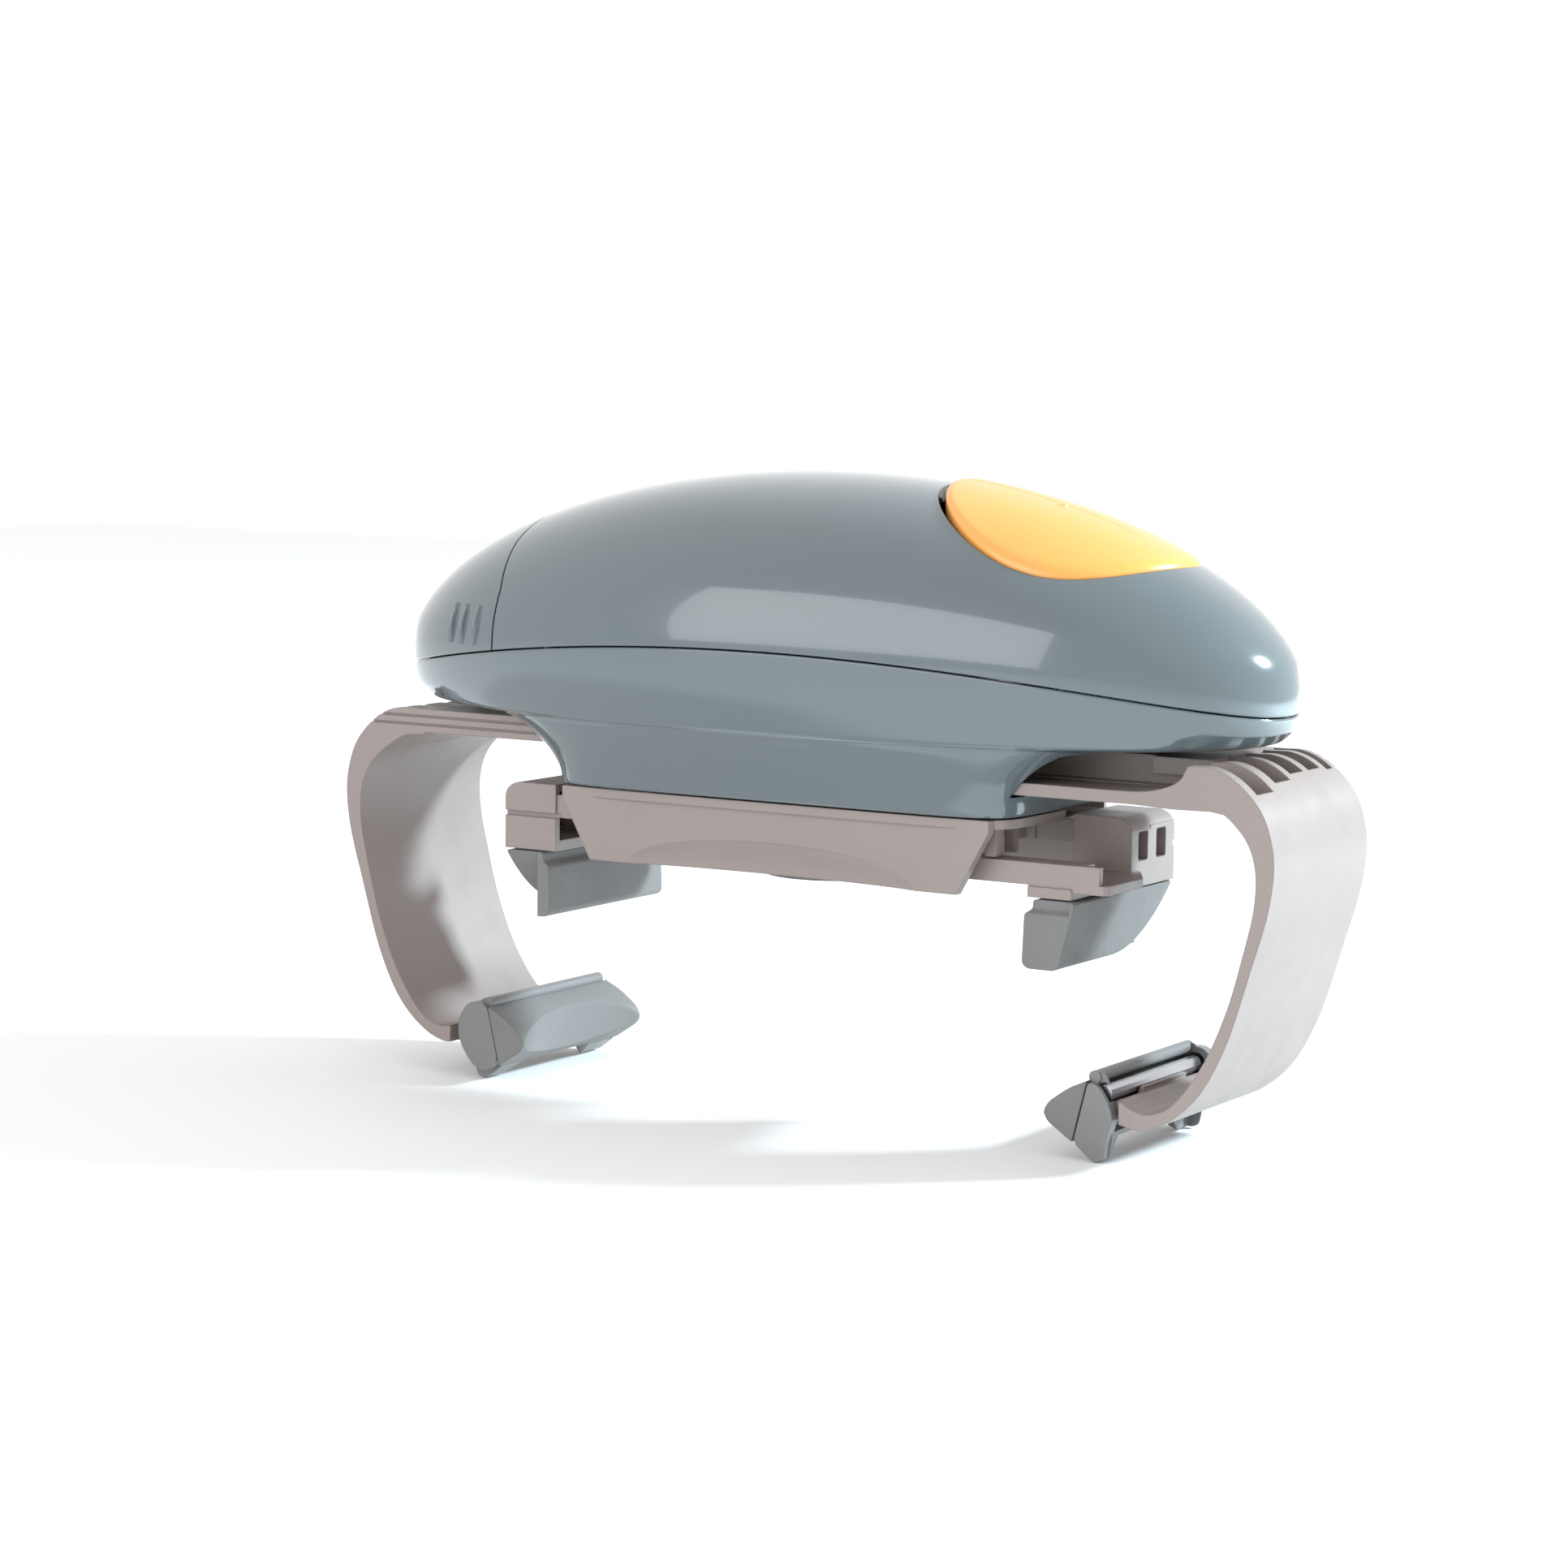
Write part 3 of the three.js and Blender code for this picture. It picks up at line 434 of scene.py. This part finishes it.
def button_cap():
    ring = np.array(circle(1, sides=160))

    def row(reach, drop=0.0):
        """A loop over the cap, with its fine middle ridge and the dimple at its rear."""
        x, y = BUTTON_X + BUTTON_LONG * reach * ring[:, 0], BUTTON_WIDE * reach * ring[:, 1]
        z = crown_z(x, y) + 0.95 + 0.35 * (BUTTON_X - x) / BUTTON_LONG
        z += 0.16 * np.exp(-((y / 0.45) ** 2)) * np.clip((x - 28) / 3, 0, 1) * np.clip((62 - x) / 4, 0, 1)
        z -= 0.35 * np.exp(-(((x - 27.6) / 1.1) ** 2 + (y / 1.1) ** 2))
        return np.stack([x, y, z - drop], 1)

    rows = [row(t) for t in np.linspace(0.02, 0.94, 60)]
    for k in range(1, 7):
        a = k / 6 * math.pi / 2
        reach = 1 - (CAP_EDGE - CAP_EDGE * math.sin(a)) / BUTTON_LONG
        rows.append(row(reach, CAP_EDGE * (1 - math.cos(a)) * 0.8))
    rows += [row(1, 3.2), row(1, CAP_RIM), row(0.93, CAP_RIM)]
    rows += [row(t, CAP_SKIN) for t in np.linspace(0.925, 0.02, 20)]
    cap = skin("button_cap", rows, np.mean(rows[0], 0), np.mean(rows[-1], 0))
    web = [(60.5, 34.4), (67.6, 34.4), (67.6, 40.6), (60.5, 43.4)]
    spans = ((-9, -4.5), (4.5, 9))
    lugs = [prism("lug", circle(HINGE_BOSS, HINGE), *span) for span in spans]
    webs = [prism("web", web, *span) for span in spans]
    stem = prism("stem", circle(2.2, (STEM_X, 0)), 42, STEM_TOP, "z")
    pad = prism("pad", circle(3.4, (STEM_X, 0)), 49.9, STEM_TOP, "z")
    add(cap, *lugs, stem, pad, *webs)
    return cut(cap, prism("bore", circle(HINGE_BORE, HINGE, 24), -20, 20))


# ---- arms ------------------------------------------------------------------------------------
ARM_WIDE, ARM_TOP, FLANGE_TOP, FLANGE_LOW = 18.6, 10.9, 6.1, 3.9
BEND_START = 76.5  # the plates inside the housing end where the bend begins
PIN, PIN_BORE, GRIP_HALF = (63.5, -44.5), 1.8, 19
# The arm's side view, down its outer face from the shoulder and back up its inner face from the grip.
OUTER = [
    (78.4, ARM_TOP), (81.6, ARM_TOP), (84.8, 9.9), (88.1, 7.6), (91.2, 4), (92.9, -0.6), (93.4, -4.8),
    (92.6, -11.6), (89.7, -21.7), (85.4, -34.9), (80.7, -43.3), (75, -48.2), (70.6, -49.7), (67, -49.2),
    (64, -48.4),
]
INNER = [
    (64, -46.2), (66.4, -45.3), (68.4, -46.2), (71.4, -47), (75.6, -45.5), (81.2, -38.4), (85.5, -28.8),
    (88.2, -19.3), (90, -11.2), (90.1, -5.4), (88.8, -1.2), (86.2, 2), (83.2, 4.2), (80, 5.9), (76, 6.3),
]
# The front flange's top edge, sweeping up to full height at the shoulder.
SWEEP = [
    (56, FLANGE_TOP), (66, FLANGE_TOP), (70, 6.3), (73, 6.9), (75.5, 7.9), (76.8, 9), (77.4, 10.2),
    (78.2, 11.2), (80, 11.9),
]
TEETH = {"tip": 6.2, "root": 8.25, "back": 8.8}  # distances of a rack's lines from the drive axis


def rack(x0, x1, low, high):
    """A rack of module 1 along x, facing the drive axis."""
    pitch, clearance, pitch_line = math.pi, 0.08, 7
    slope = math.tan(math.radians(20))
    tip, root, back = TEETH["tip"], TEETH["root"], TEETH["back"]

    def half(y):
        return pitch / 4 - clearance + (y - pitch_line) * slope

    outline = [(x1, back), (x0, back), (x0, root)]
    for n in range(math.ceil(x0 / pitch - 0.5), math.floor(x1 / pitch - 0.5) + 1):
        x = (n + 0.5) * pitch
        if x - pitch / 2 >= x0 and x + pitch / 2 <= x1:
            outline += [(x - half(root), root), (x - half(tip), tip)]
            outline += [(x + half(tip), tip), (x + half(root), root)]
    return prism("rack", outline + [(x1, root)], low, high, "z")


def arm():
    outer, inner = curve_through(OUTER, 6), curve_through(INNER, 6)
    profile = [(66, ARM_TOP), *outer, (62.2, -47.9), (62.2, -46.6), *inner, (73.5, 8), (66, 8)]
    body = prism("right_arm_moulding", profile, -ARM_WIDE, ARM_WIDE)
    above = [*curve_through(SWEEP, 5), (80, 14), (50, 14), (50, FLANGE_TOP)]
    scoop = prism("scoop", above, -ARM_WIDE - 1, -7.6)
    flange = [
        (18, 4), (68, 4), (75, 3.7), (82, 3.8), (84.6, 3.4), (86, 6), (84, 10), (66, ARM_TOP),
        (66, FLANGE_TOP), (18, FLANGE_TOP),
    ]
    body = cut(add(body, prism("side", flange, -ARM_WIDE, -8.25)), scoop)
    bend_pockets(body)
    cut(
        body,
        block("seat", (58, 66.7), (-30, -16.2), (-60, -40)),
        block("seat", (58, 69.6), (16.2, 30), (-60, -40)),
    )
    add(
        body,
        block("step", (37, BEND_START), (-8.35, -4), (FLANGE_LOW, 6.3)),
        block("wall", (37, BEND_START), (-5.8, -4), (FLANGE_LOW, ARM_TOP)),
        block("deck", (37, BEND_START), (-5.7, ARM_WIDE), (9.1, ARM_TOP)),
        block("bar", (-8, BEND_START), (8.65, ARM_WIDE), (6.7, ARM_TOP)),
        rack(-8, 36, 6.7, ARM_TOP),
        prism("hook", circle(2.6, PIN, 40, math.pi)[:21], -8, 8),
        prism("neck", [(62, -48.2), (66.1, -48.6), (66.1, -45.2), (62, -45.2)], -8, 8),
    )
    grooves = [block("line", (37, 95), (18.25, 20), (z - 0.2, z + 0.2)) for z in (8.1, 9.6)]
    return cut(body, prism("bore", circle(PIN_BORE, PIN), -10, 10), *grooves)


# Sides of each pocket over the bend, and how far out it reaches.
POCKETS = (
    (-16.1, -9.8, 89.2), (-6.8, -0.9, 87.7), (1.1, 6.2, 86.6), (8.3, 12.8, 86.6), (14.7, 17.0, 87.2),
)


def bend_pockets(body):
    """Cored pockets between lengthwise ribs over the bend, ending on an arc across the outer face."""
    above = 14
    floor = [(78, 7.5), (80.5, 6.7), (83, 5.4), (85, 4.1), (87, 2.6)]
    for low, high, reach in POCKETS:
        end = curve_through([(reach - 2.4, 4.2), (reach - 1.1, 5.4), (reach, 7.6), (reach + 0.9, 13.5)], 4)
        start = [(BEND_START + 0.1, above), (BEND_START + 0.1, 8)]
        outline = start + [p for p in floor if p[0] < reach - 2.8] + end + [(reach + 1, above)]
        cut(body, prism("pocket", outline, low, high))


# ---- grips -----------------------------------------------------------------------------------
def grip_holder():
    """The carrier of a grip: a cheek at each end, an open bay for the arm and pin, a beaded front wall."""
    cheek = [
        (61.2, -42.5), (58.6, -53), (62.5, -55.9), (64.2, -55.6), (64.6, -52.2), (65.9, -48.2), (64.8, -45.4),
        (63, -43),
    ]
    far_cheek = [
        (61.2, -41.8), (58.6, -52.4), (61.6, -54.4), (64.4, -53.2), (67.2, -49.4), (67.6, -45.2),
        (65.2, -41.6),
    ]
    core = [
        (61.2, -42.3), (58.6, -53), (62.4, -55.9), (64.4, -55.4), (65, -52.3), (64.9, -44), (63.4, -41.2),
        (62, -41),
    ]
    bay = [
        (60.6, -47.4), (60.3, -52), (62.4, -52), (62.4, -58), (74, -58), (74, -38), (64, -38), (61.6, -42.4),
        (60.6, -44),
    ]
    arch = [(-15.5, -59), (-10, -52.8), (10, -52.8), (15.5, -59)]
    inside = 16.8  # half the distance between the cheeks
    body = prism("right_grip_cradle", rounded(core, 0.9, 4), -17.2, 17.2)
    bead = prism("bar", circle(1.1, (61.7, -41.9), 24), -17.6, 17.6)
    add(
        body,
        prism("cheek", rounded(cheek, 1.3, 5), -GRIP_HALF, -inside),
        prism("cheek", rounded(far_cheek, 2, 6), inside, GRIP_HALF),
    )
    cut(body, prism("arch", arch, 56, 76, "x"))
    cut(body, prism("bay", bay, -inside, inside), prism("bore", circle(PIN_BORE, PIN), -18.2, 18.2))
    return add(body, bead)


def grip_rubber():
    """The jar side of a grip: a soft nose hollowed to a jar's curve."""
    nose = [(60.9, -42.4), (57.6, -43.9), (53.9, -46.6), (52.9, -48.4), (53.7, -49.9), (58.3, -52.9)]
    body = prism("right_grip_pad", rounded(nose, 1.5, 5, (1, 2, 3, 4)), -GRIP_HALF, GRIP_HALF)
    jar = 48
    centre = 52.9 - math.sqrt(jar ** 2 - GRIP_HALF ** 2)
    return cut(body, prism("jar", circle(jar, (centre, 0), 360), -80, -20, "z"))


# ---- turntable and jaws ----------------------------------------------------------------------
def ellipsoid(name, centre, radii):
    (x, y, z), (long, wide, tall) = centre, radii
    rings, sides = 28, 64
    rows = []
    for k in range(1, rings):
        a = math.pi * k / rings - math.pi / 2
        reach, height = math.cos(a), z + tall * math.sin(a)
        rows.append([(x + long * reach * c, y + wide * reach * s, height) for c, s in circle(1, sides=sides)])
    return skin(name, rows, (x, y, z - tall), (x, y, z + tall))


def turntable():
    top, bottom, wide, wall = -0.4, -13.2, 21.5, 1.8
    rim_thick, wing, bearing, shaft = 1.6, 43, 12, 4.4
    flank_y = wide + 1.5  # the scoops in the flanks are centred outside them

    def scoops(*radii):
        return [ellipsoid("scoop", (0, side * flank_y, bottom), radii) for side in (1, -1)]

    outline = [(-wing, top), (-wing, top - 2), (-37, bottom), (37, bottom), (wing, top - 2), (wing, top)]
    body = prism("turntable_tray", outline, -wide, wide)
    hollow = block("hollow", (-60, 60), (wall - wide, wide - wall), (bottom - 1, top - 1.5))
    cut(hollow, *scoops(32.2, 5.6, 7.4))
    cut(body, hollow)
    plan, _ = superellipse(45.6, 22.1, 8, 0)
    add(body, prism("rim", [(x, y) for x, y, _ in plan], top - rim_thick, top, "z"))
    posts = [block("post", (40.2, 42.2), span, (-6.8, top - 1)) for span in ((-17.4, -14.6), (-10.6, -9.4))]
    posts += [turned(post, "post") for post in posts]
    bar = block("bar", (-15, 15), (1 - wide, wide - 1), (bottom, -11.4))
    add(body, bar, prism("bearing", circle(bearing, sides=96), top - 0.5, 2.4, "z"), *posts)
    notch = block("notch", (17, 60), (1, 18.6), (top - 5, top + 1))
    cuts = [notch, turned(notch, "notch"), prism("bore", circle(shaft, sides=64), -10, 5, "z")]
    return cut(body, *cuts, *scoops(31, 4.4, 6.2))


def jaw():
    wide, front, rear = 18.0, -17.1, 48.3
    low, high = (-11, -7.2), (-6.9, -2.8)  # heights of the two rails
    body = block("right_jaw_slide", (rear, 56.5), (0.6 - wide, wide - 0.6), (-13, -11.2))
    hood_end = rounded([(47, -1), (56, -1), (58, -2.6), (58, -13), (47, -13)], 2.4, 6, (1, 2))
    hood = prism("hood", hood_end, 1.5, 17.8)
    cut(hood, block("hollow", (40, 56.2), (3, wide - 1.5), (-11.1, -2.4)))
    ledge = [(rear, front), (62.2, front), (63, front + 0.8), (63, -4), (58.5, 4), (rear, 4)]
    add(
        body,
        block("low_rail", (34, 58), (front, -12), low),
        block("lip", (57, 61.5), (front, front + 1.3), (low[0], -7.15)),
        prism("ledge", ledge, -11.8, -10.2, "z"),
        block("web", (rear, 56.5), (front, -12), (-13, -10)),
        hood,
        block("high_rail", (-11, 58), (8.5, 17.4), high),
        rack(-11, 36, *high),
    )
    windows = []
    for y in (5.8, 12.6):
        corners = [(y - 1.8, -8.6), (y + 1.8, -8.6), (y + 1.8, -3.6), (y - 1.8, -3.6)]
        windows.append(prism("window", rounded(corners, 0.5), 50, 65, "x"))
    return cut(body, block("groove", (46, 59), (17.2, 19), (-7.1, -6.2)), *windows)


def jaw_rubber():
    """The lid side of a jaw: a necked block, with its far outer corner swept up."""
    top, bottom = -13.3, -24.9
    outline = [
        (49.4, top), (49.4, -14.9), (48.2, -15.7), (47.9, -24.1), (48.9, bottom), (54, bottom), (54.8, -24.1),
        (57.6, top),
    ]
    body = prism("right_jaw_pad", rounded(outline, 0.6, 3), -18.2, 18.2)
    neck = [(-19, -12), (-17.4, -12), (-17.4, -14.9), (-18.2, -15.6), (-19, -15.6)]
    sweep = curve_through([(-4, -25.4), (3, -24.8), (9, -22.9), (13.5, -19.8), (16.6, -16), (18.3, -12.8)], 6)
    corner = [*sweep, (25, -12.8), (25, -30), (-4, -30)]
    return cut(body, prism("neck", neck, 40, 56.6, "x"), prism("corner", corner, 50.6, 70, "x"))


def lid_plate():
    top, hub, hub_low = -13.5, 1.5, -14.4
    rings = [(hub, top), (12, top), (12, -14.7), (7, -14.7), (6.6, hub_low), (hub, hub_low)]
    rows = [[(r * c, r * s, z) for c, s in circle(1, sides=96)] for r, z in rings]
    return skin("lid_pad", rows, (0, 0, top), (0, 0, hub_low))


# ---- materials -------------------------------------------------------------------------------
def srgb(r, g, b):
    def line(v):
        v /= 255
        return v / 12.92 if v <= 0.04045 else ((v + 0.055) / 1.055) ** 2.4

    return (line(r), line(g), line(b), 1)


def material(
    name, colour, *, rough, smudge, tint, spot, grain, grain_scale, edge=0.0,
    brushed=None, grain_stretch=None, **extra
):
    """A procedural moulding, metal or rubber.

    Its colour drifts by tint in patches, its gloss by smudge in marks, finer where the patches are
    finer. Its surface has a fine grain and, where edge is given in millimetres, soft edges.
    """
    made = bpy.data.materials.new(name)
    made.use_nodes = True
    nodes, links = made.node_tree.nodes, made.node_tree.links
    shader = nodes["Principled BSDF"]
    where = nodes.new("ShaderNodeTexCoord").outputs["Object"]

    def noise(scale, detail, stretch=None):
        node = nodes.new("ShaderNodeTexNoise")
        node.inputs["Scale"].default_value = scale
        node.inputs["Detail"].default_value = detail
        source = where
        if stretch:
            turn = nodes.new("ShaderNodeMapping")
            turn.inputs["Scale"].default_value = stretch
            links.new(where, turn.inputs["Vector"])
            source = turn.outputs["Vector"]
        links.new(source, node.inputs["Vector"])
        return node.outputs["Fac"]

    def spread(source, low, high):
        """Brings the middle of a noise's range to low and high."""
        node = nodes.new("ShaderNodeMapRange")
        node.inputs["From Min"].default_value, node.inputs["From Max"].default_value = 0.3, 0.7
        node.inputs["To Min"].default_value, node.inputs["To Max"].default_value = low, high
        links.new(source, node.inputs["Value"])
        return node.outputs["Result"]

    mix = nodes.new("ShaderNodeMix")
    mix.data_type = "RGBA"
    mix.inputs["A"].default_value = tuple(c * (1 - tint) for c in colour[:3]) + (1,)
    mix.inputs["B"].default_value = tuple(min(1, c * (1 + tint)) for c in colour[:3]) + (1,)
    links.new(spread(noise(spot, 3), 0, 1), mix.inputs["Factor"])
    links.new(mix.outputs["Result"], shader.inputs["Base Color"])
    marks = spread(noise(spot * 4, 6, brushed), rough - smudge, rough + smudge)
    links.new(marks, shader.inputs["Roughness"])
    bump = nodes.new("ShaderNodeBump")
    bump.inputs["Strength"].default_value = grain
    bump.inputs["Distance"].default_value = 0.0001
    links.new(noise(grain_scale, 2, grain_stretch), bump.inputs["Height"])
    if edge:
        bevel = nodes.new("ShaderNodeBevel")
        bevel.samples = 4
        bevel.inputs["Radius"].default_value = edge * MM
        links.new(bevel.outputs["Normal"], bump.inputs["Normal"])
    links.new(bump.outputs["Normal"], shader.inputs["Normal"])
    for key, value in extra.items():
        shader.inputs[key.replace("_", " ")].default_value = value
    return made


MATERIALS = {
    "shell": material(
        "glossy_grey_blue", srgb(89, 100, 104), rough=0.16, smudge=0.03, tint=0.03, spot=18,
        grain=0.03, grain_scale=900, edge=0.35, Coat_Weight=1.0, Coat_Roughness=0.04, IOR=1.5,
    ),
    "button": material(
        "glossy_amber", srgb(234, 163, 82), rough=0.24, smudge=0.04, tint=0.035, spot=30,
        grain=0.04, grain_scale=900, edge=0.3,
        Coat_Weight=0.3, Coat_Roughness=0.1, Subsurface_Weight=0.08, Subsurface_Scale=0.002,
    ),
    "moulding": material(
        "satin_taupe", srgb(139, 127, 123), rough=0.42, smudge=0.06, tint=0.035, spot=40,
        grain=0.18, grain_scale=3200, edge=0.35, Coat_Weight=0.12, Coat_Roughness=0.3,
    ),
    "holder": material(
        "satin_grey", srgb(114, 113, 113), rough=0.36, smudge=0.06, tint=0.03, spot=40,
        grain=0.12, grain_scale=3200, edge=0.3, Coat_Weight=0.25, Coat_Roughness=0.2,
    ),
    "rubber": material(
        "soft_grey_rubber", srgb(112, 111, 110), rough=0.62, smudge=0.08, tint=0.05, spot=90,
        grain=0.5, grain_scale=4200, edge=0.3, Sheen_Weight=0.12, Sheen_Roughness=0.5,
    ),
    "steel": material(
        "plated_steel", srgb(196, 198, 202), rough=0.2, smudge=0.04, tint=0.04, spot=120,
        grain=0.03, grain_scale=3000, brushed=(1, 1, 12), grain_stretch=(1, 1, 9), Metallic=1.0,
    ),
    "motor_can": material(
        "motor_steel", srgb(176, 178, 180), rough=0.34, smudge=0.09, tint=0.06, spot=90,
        grain=0.2, grain_scale=2200, brushed=(1, 1, 16), Metallic=1.0,
    ),
    "brass": material(
        "turned_brass", srgb(205, 168, 84), rough=0.28, smudge=0.07, tint=0.05, spot=140,
        grain=0.15, grain_scale=2600, brushed=(1, 1, 10), Metallic=1.0,
    ),
    "contact": material(
        "nickel_contact", srgb(206, 202, 190), rough=0.24, smudge=0.07, tint=0.04, spot=160,
        grain=0.08, grain_scale=3000, brushed=(8, 1, 1), Metallic=1.0,
    ),
    "gear_nylon": material(
        "gear_nylon", srgb(232, 226, 208), rough=0.45, smudge=0.06, tint=0.03, spot=80,
        grain=0.12, grain_scale=2800, Subsurface_Weight=0.15, Subsurface_Scale=0.002,
    ),
    "black_plastic": material(
        "black_moulding", srgb(42, 43, 45), rough=0.5, smudge=0.08, tint=0.12, spot=60,
        grain=0.3, grain_scale=2800,
    ),
    "cell_wrap": material(
        "cell_wrap", srgb(58, 70, 84), rough=0.3, smudge=0.05, tint=0.1, spot=50,
        grain=0.05, grain_scale=1500, Coat_Weight=0.5, Coat_Roughness=0.1,
    ),
    "board": material(
        "solder_mask", srgb(36, 98, 58), rough=0.38, smudge=0.06, tint=0.2, spot=260,
        grain=0.25, grain_scale=900, Coat_Weight=0.3, Coat_Roughness=0.2,
    ),
}


def wear(obj, slot):
    obj.data.materials.clear()
    obj.data.materials.append(MATERIALS[slot])


# ---- assembly --------------------------------------------------------------------------------
SHELL_ANGLE, BUTTON_ANGLE, PLAIN_ANGLE, CAD_ANGLE = 60, 50, 35, 32  # up to these degrees, edges stay smooth


def put(obj, name, node, body, slot, angle=PLAIN_ANGLE):
    """Dresses a piece, and has it move with a body in place of that body's CAD node."""
    obj.name = obj.data.name = name
    wear(obj, slot)
    smooth(obj, angle)
    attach(obj, body)
    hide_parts(node)


def put_pair(make, piece, node, body, slot):
    """Puts the right-hand piece in place, and its twin on the left."""
    right = make()
    left = turned(right, "left_" + piece)
    for side, obj in (("right_", right), ("left_", left)):
        put(obj, side + piece, side + node, side + body, slot)


upper, lower, cover = housing()
put(upper, "upper_shell_skin", "upper_shell", "housing", "shell", SHELL_ANGLE)
put(lower, "lower_shell_skin", "lower_shell", "housing", "shell", SHELL_ANGLE)
put(cover, "battery_cover_skin", "battery_cover", "battery_cover", "shell")
put(button_cap(), "button_cap", "button", "button", "button", BUTTON_ANGLE)
put_pair(arm, "arm_moulding", "arm", "arm", "moulding")
put_pair(grip_holder, "grip_cradle", "grip_holder", "grip", "holder")
put_pair(grip_rubber, "grip_pad", "grip_rubber", "grip", "rubber")
put_pair(jaw, "jaw_slide", "jaw", "jaw", "moulding")
put_pair(jaw_rubber, "jaw_pad", "jaw_rubber", "jaw", "rubber")
put(turntable(), "turntable_tray", "turntable", "turntable", "moulding")
put(lid_plate(), "lid_pad", "lid_plate", "turntable", "rubber")

SLOTS = {row["node"]: row["material_slot"] for row in frame["record"]["subparts"]}
for name, node in frame["nodes"].items():
    if not node.hide_render:  # a CAD node that no piece replaces
        wear(node, SLOTS[name])
        for face in node.data.polygons:
            face.use_smooth = True
        node.data.set_sharp_from_angle(angle=math.radians(CAD_ANGLE))


# ---- floor, light and camera -----------------------------------------------------------------
def floor():
    reach, thick, clear = 1500, 20, 0.02
    outline = [(-reach, -reach), (reach, -reach), (reach, reach), (-reach, reach)]
    obj = prism("floor", outline, -STAND - thick, -STAND - clear, "z")
    pale = material(
        "pale_floor", srgb(242, 242, 242), rough=0.7, smudge=0.02, tint=0.01, spot=3,
        grain=0.02, grain_scale=300,
    )
    obj.data.materials.append(pale)


MIDDLE = (0, 0, 0.06)  # of the whole object, in metres


def area_light(name, place, size, watts, colour):
    data = bpy.data.lights.new(name, "AREA")
    data.energy, data.color = watts, colour
    data.shape = "RECTANGLE"
    data.size, data.size_y = size
    obj = bpy.data.objects.new(name, data)
    bpy.context.scene.collection.objects.link(obj)
    obj.location = place
    obj.rotation_euler = (Vector(MIDDLE) - Vector(place)).to_track_quat("-Z", "Y").to_euler()


def lights():
    """A white surround, a small cool lamp behind the button end, and a soft window in front."""
    world = bpy.data.worlds.new("studio")
    world.use_nodes = True
    world.node_tree.nodes["Background"].inputs["Color"].default_value = (1, 1, 1, 1)
    world.node_tree.nodes["Background"].inputs["Strength"].default_value = 1.0
    bpy.context.scene.world = world
    area_light("sun_side", (0.94, 0.66, 0.67), size=(0.16, 0.16), watts=34, colour=(0.75, 0.92, 1))
    area_light("window", (-0.3, -1.11, 0.49), size=(1.05, 0.8), watts=5.5, colour=(0.96, 0.98, 1))
    bpy.context.scene.view_settings.view_transform = "Standard"


def camera():
    """Looks at the middle of the object from the front and the button end, slightly above."""
    azimuth, pitch, roll = 31.636, 6.488, -0.726
    distance, across, rise = 690, -8.637, 0.787
    focal = 90.0415714
    a, e, r = math.radians(azimuth), math.radians(pitch), math.radians(roll)
    back = Vector((math.sin(a) * math.cos(e), -math.cos(a) * math.cos(e), math.sin(e)))
    right = Vector((math.cos(a), math.sin(a), 0))
    up = back.cross(right)
    place = right * across + Vector((0, 0, rise + STAND)) + back * distance
    turned_right = right * math.cos(r) - up * math.sin(r)
    turned_up = right * math.sin(r) + up * math.cos(r)
    data = bpy.data.cameras.new("camera")
    data.sensor_width = 36
    data.lens = focal
    data.clip_start, data.clip_end = 0.05, 20
    obj = bpy.data.objects.new("camera", data)
    obj.matrix_world = Matrix.Translation(place * MM) @ Matrix(
        [[turned_right[i], turned_up[i], back[i]] for i in range(3)]
    ).to_4x4()
    bpy.context.scene.collection.objects.link(obj)
    bpy.context.scene.camera = obj


floor()
lights()
camera()
